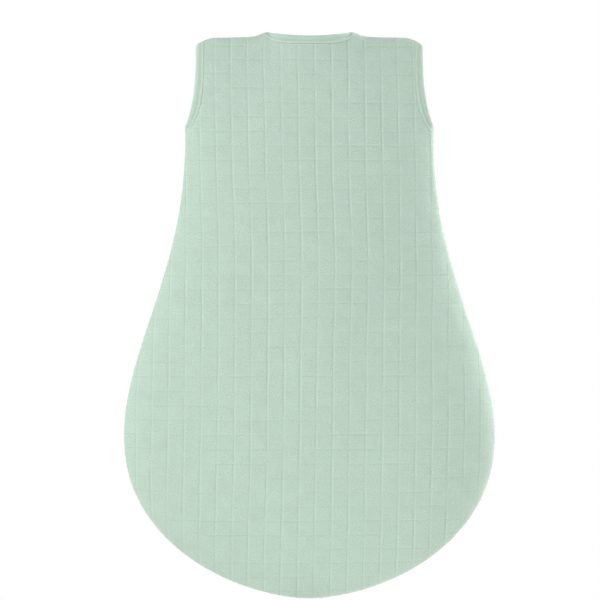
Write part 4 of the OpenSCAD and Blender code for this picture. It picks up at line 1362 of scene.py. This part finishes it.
# ---------------------------------------------------------------- hanging loop and labels
LOOP_Y, LOOP_Z, LOOP_HALF, LOOP_LOW, LOOP_R, LOOP_W = -16.8, -17.5, 13.0, -43.5, 9, 3
SIZE_HALF, SIZE_LONG = 8, 17
CARE_Z, CARE_WIDE, CARE_LONG, CARE_GAP = -340.0, 28, 42, 0.8


def make_loop():
    a = np.radians(np.linspace(180, 270, 12))
    arc = np.stack([LOOP_R - LOOP_HALF + LOOP_R * np.cos(a), LOOP_LOW + LOOP_R * np.sin(a)], -1)
    drop = np.stack([np.full(10, -LOOP_HALF), np.linspace(LOOP_Z, LOOP_LOW, 10)], -1)
    left = np.concatenate([drop[:-1], arc])
    line = np.concatenate([left, (left * [-1, 1])[::-1]])
    along = unit(np.gradient(line, axis=0))
    across = np.stack([-along[:, 1], along[:, 0]], -1)
    flat = line[:, None] + across[:, None] * (LOOP_W * (2 * edged(5, 0.07) - 1))[None, :, None]
    sway = 0.25 * noise(flat[..., 0] * 2, flat[..., 1], 14, 101)
    tape = ribbon(stack(flat[..., 0], LOOP_Y + sway, flat[..., 1]), 1.0)
    fix(new_object("hanging_loop_tape", tape, LOOP_TAPE), "loop", "tape", "hanger_loop")


def make_size_label():
    x = mix(-SIZE_HALF, SIZE_HALF, edged(7, 0.05))[None]
    z = mix(LOOP_Z, LOOP_Z - SIZE_LONG, edged(9, 0.05))[:, None]
    middle = stack(x, LOOP_Y + 0.25 * (LOOP_Z - z) / SIZE_LONG * np.cos(x / SIZE_HALF * 1.5), z)
    fix(new_object("size_label_ribbon", ribbon(middle, 0.5), LABEL), "neck_label", "label", "size_label")


def make_care_label():
    """Sewn into the left side seam, and lying along it."""
    low, high = CARE_Z - CARE_LONG / 2, CARE_Z + CARE_LONG / 2
    lean = math.atan((side_half(low) - side_half(high)) / CARE_LONG)
    start = [-side_half(CARE_Z) + HEM_IN + ALLOWANCE + CARE_GAP, seam_y(CARE_Z) - HEM_BACK, CARE_Z]
    u, v = CARE_WIDE * edged(9, 0.04)[None], CARE_LONG * (0.5 - edged(11, 0.04))[:, None]
    wave = 0.3 * np.sin(u / CARE_WIDE * 3.0) * np.cos(v / (CARE_LONG / 2))
    middle = stack(start[0] + u * math.cos(lean) + v * math.sin(lean), start[1] + wave,
                   start[2] - u * math.sin(lean) + v * math.cos(lean))
    fix(new_object("care_label_ribbon", ribbon(middle, 0.4), LABEL), "side_label", "label", "care_label")


make_loop()
make_size_label()
make_care_label()


# ---------------------------------------------------------------- studio, in metres
WHITE, BLACK, FLOOR_TONE = (1, 1, 1, 1), (0, 0, 0, 1), (0.9, 0.9, 0.89, 1)
FLOOR_Z, FLOOR_REACH, DOME_REACH = -0.775, 9.0, 1.3
GLOW_FROM, GLOW_FULL = 0.35, 1.15   # how far from the middle the floor starts to turn white, and ends
WORLD_STRENGTH = 0.55
LIGHTS = (
    # name, place, what it points at, width, power
    ("key", (-2.5, -1.8, 1.1), (0, 0, -0.25), 1.4, 59.5),
    ("fill", (1.2, -2.4, 0.7), (0, 0, -0.15), 1.6, 7.5),
    ("rim left", (-1.4, 0.5, 0.3), (0, 0, -0.15), 0.7, 5),
    ("rim right", (1.4, 0.5, 0.3), (0, 0, -0.15), 0.7, 31),
    ("low fill", (0, -1.4, -0.74), (0, 0, -0.6), 0.5, 4.2),
    ("front key", (-1.2, 2.6, 1.0), (0, 0, -0.35), 1.6, 6),
)
CAMERA_PLACE, CAMERA_LENS, SENSOR, CLIP_END = (-0.0117, -6.4, -0.3315), 312.0, 36, 40


def floor_material():
    """Pale, and fading to a white glow all round."""
    n = Nodes("pale floor")
    spot = n.node("VectorMath", {0: n.spot(), 1: (1, 1, 0)}, operation="MULTIPLY").outputs[0]
    away = n.node("VectorMath", {0: spot}, operation="LENGTH").outputs["Value"]
    inputs = {"Value": away, "From Min": GLOW_FROM, "From Max": GLOW_FULL}
    glow = n.node("MapRange", inputs, interpolation_type="SMOOTHSTEP").outputs[0]
    n.set(n.shader.inputs["Emission Color"], WHITE)
    n.set(n.shader.inputs["Emission Strength"], glow)
    return n.finish(n.colour(glow, FLOOR_TONE, BLACK), 0.9, Specular_IOR_Level=0.0)


def dome_material():
    n = Nodes("white dome")
    n.set(n.shader.inputs["Emission Color"], WHITE)
    n.set(n.shader.inputs["Emission Strength"], 1.0)
    return n.finish(BLACK, 1.0, Specular_IOR_Level=0.0)


def backdrop():
    """A pale floor inside a white dome that only the camera sees."""
    turn = np.radians(np.linspace(0, 360, 65)[:-1])
    radius = np.concatenate([np.linspace(0.02, 1.4, 12), [3.0, FLOOR_REACH]])[:, None]
    disc = stack(radius * np.cos(turn), radius * np.sin(turn), FLOOR_Z) / MM
    ground = new_object("pale_floor", Mesh().grid(disc, loop=True), floor_material())
    rise = np.radians(np.linspace(-25, 89, 24))[:, None]
    shell = stack(np.cos(rise) * np.cos(turn), np.cos(rise) * np.sin(turn), np.sin(rise))
    shell = shell * DOME_REACH * FLOOR_REACH / MM
    dome = new_object("white_dome", Mesh().grid(shell, loop=True), dome_material())
    for kind in ("diffuse", "glossy", "transmission", "shadow", "volume_scatter"):
        setattr(dome, "visible_" + kind, False)


def area_light(name, place, target, size, power):
    data = bpy.data.lights.new(name, "AREA")
    data.size, data.energy = size, power
    obj = bpy.data.objects.new(name, data)
    bpy.context.scene.collection.objects.link(obj)
    obj.location = place
    obj.rotation_euler = (Vector(target) - Vector(place)).to_track_quat("-Z", "Y").to_euler()


def photo_camera():
    """Looks straight at the back from far away, as the photo was taken."""
    camera = bpy.data.cameras.new("camera")
    camera.lens, camera.sensor_width, camera.clip_end = CAMERA_LENS, SENSOR, CLIP_END
    obj = bpy.data.objects.new("camera", camera)
    bpy.context.scene.collection.objects.link(obj)
    obj.location = CAMERA_PLACE
    obj.rotation_euler = (math.radians(90), 0, 0)
    bpy.context.scene.camera = obj


def studio():
    backdrop()
    world = bpy.data.worlds.new("studio")
    bpy.context.scene.world = world
    world.use_nodes = True
    world.node_tree.nodes["Background"].inputs["Color"].default_value = WHITE
    world.node_tree.nodes["Background"].inputs["Strength"].default_value = WORLD_STRENGTH
    for light in LIGHTS:
        area_light(*light)
    photo_camera()
    bpy.context.scene.view_settings.view_transform = "Standard"


studio()
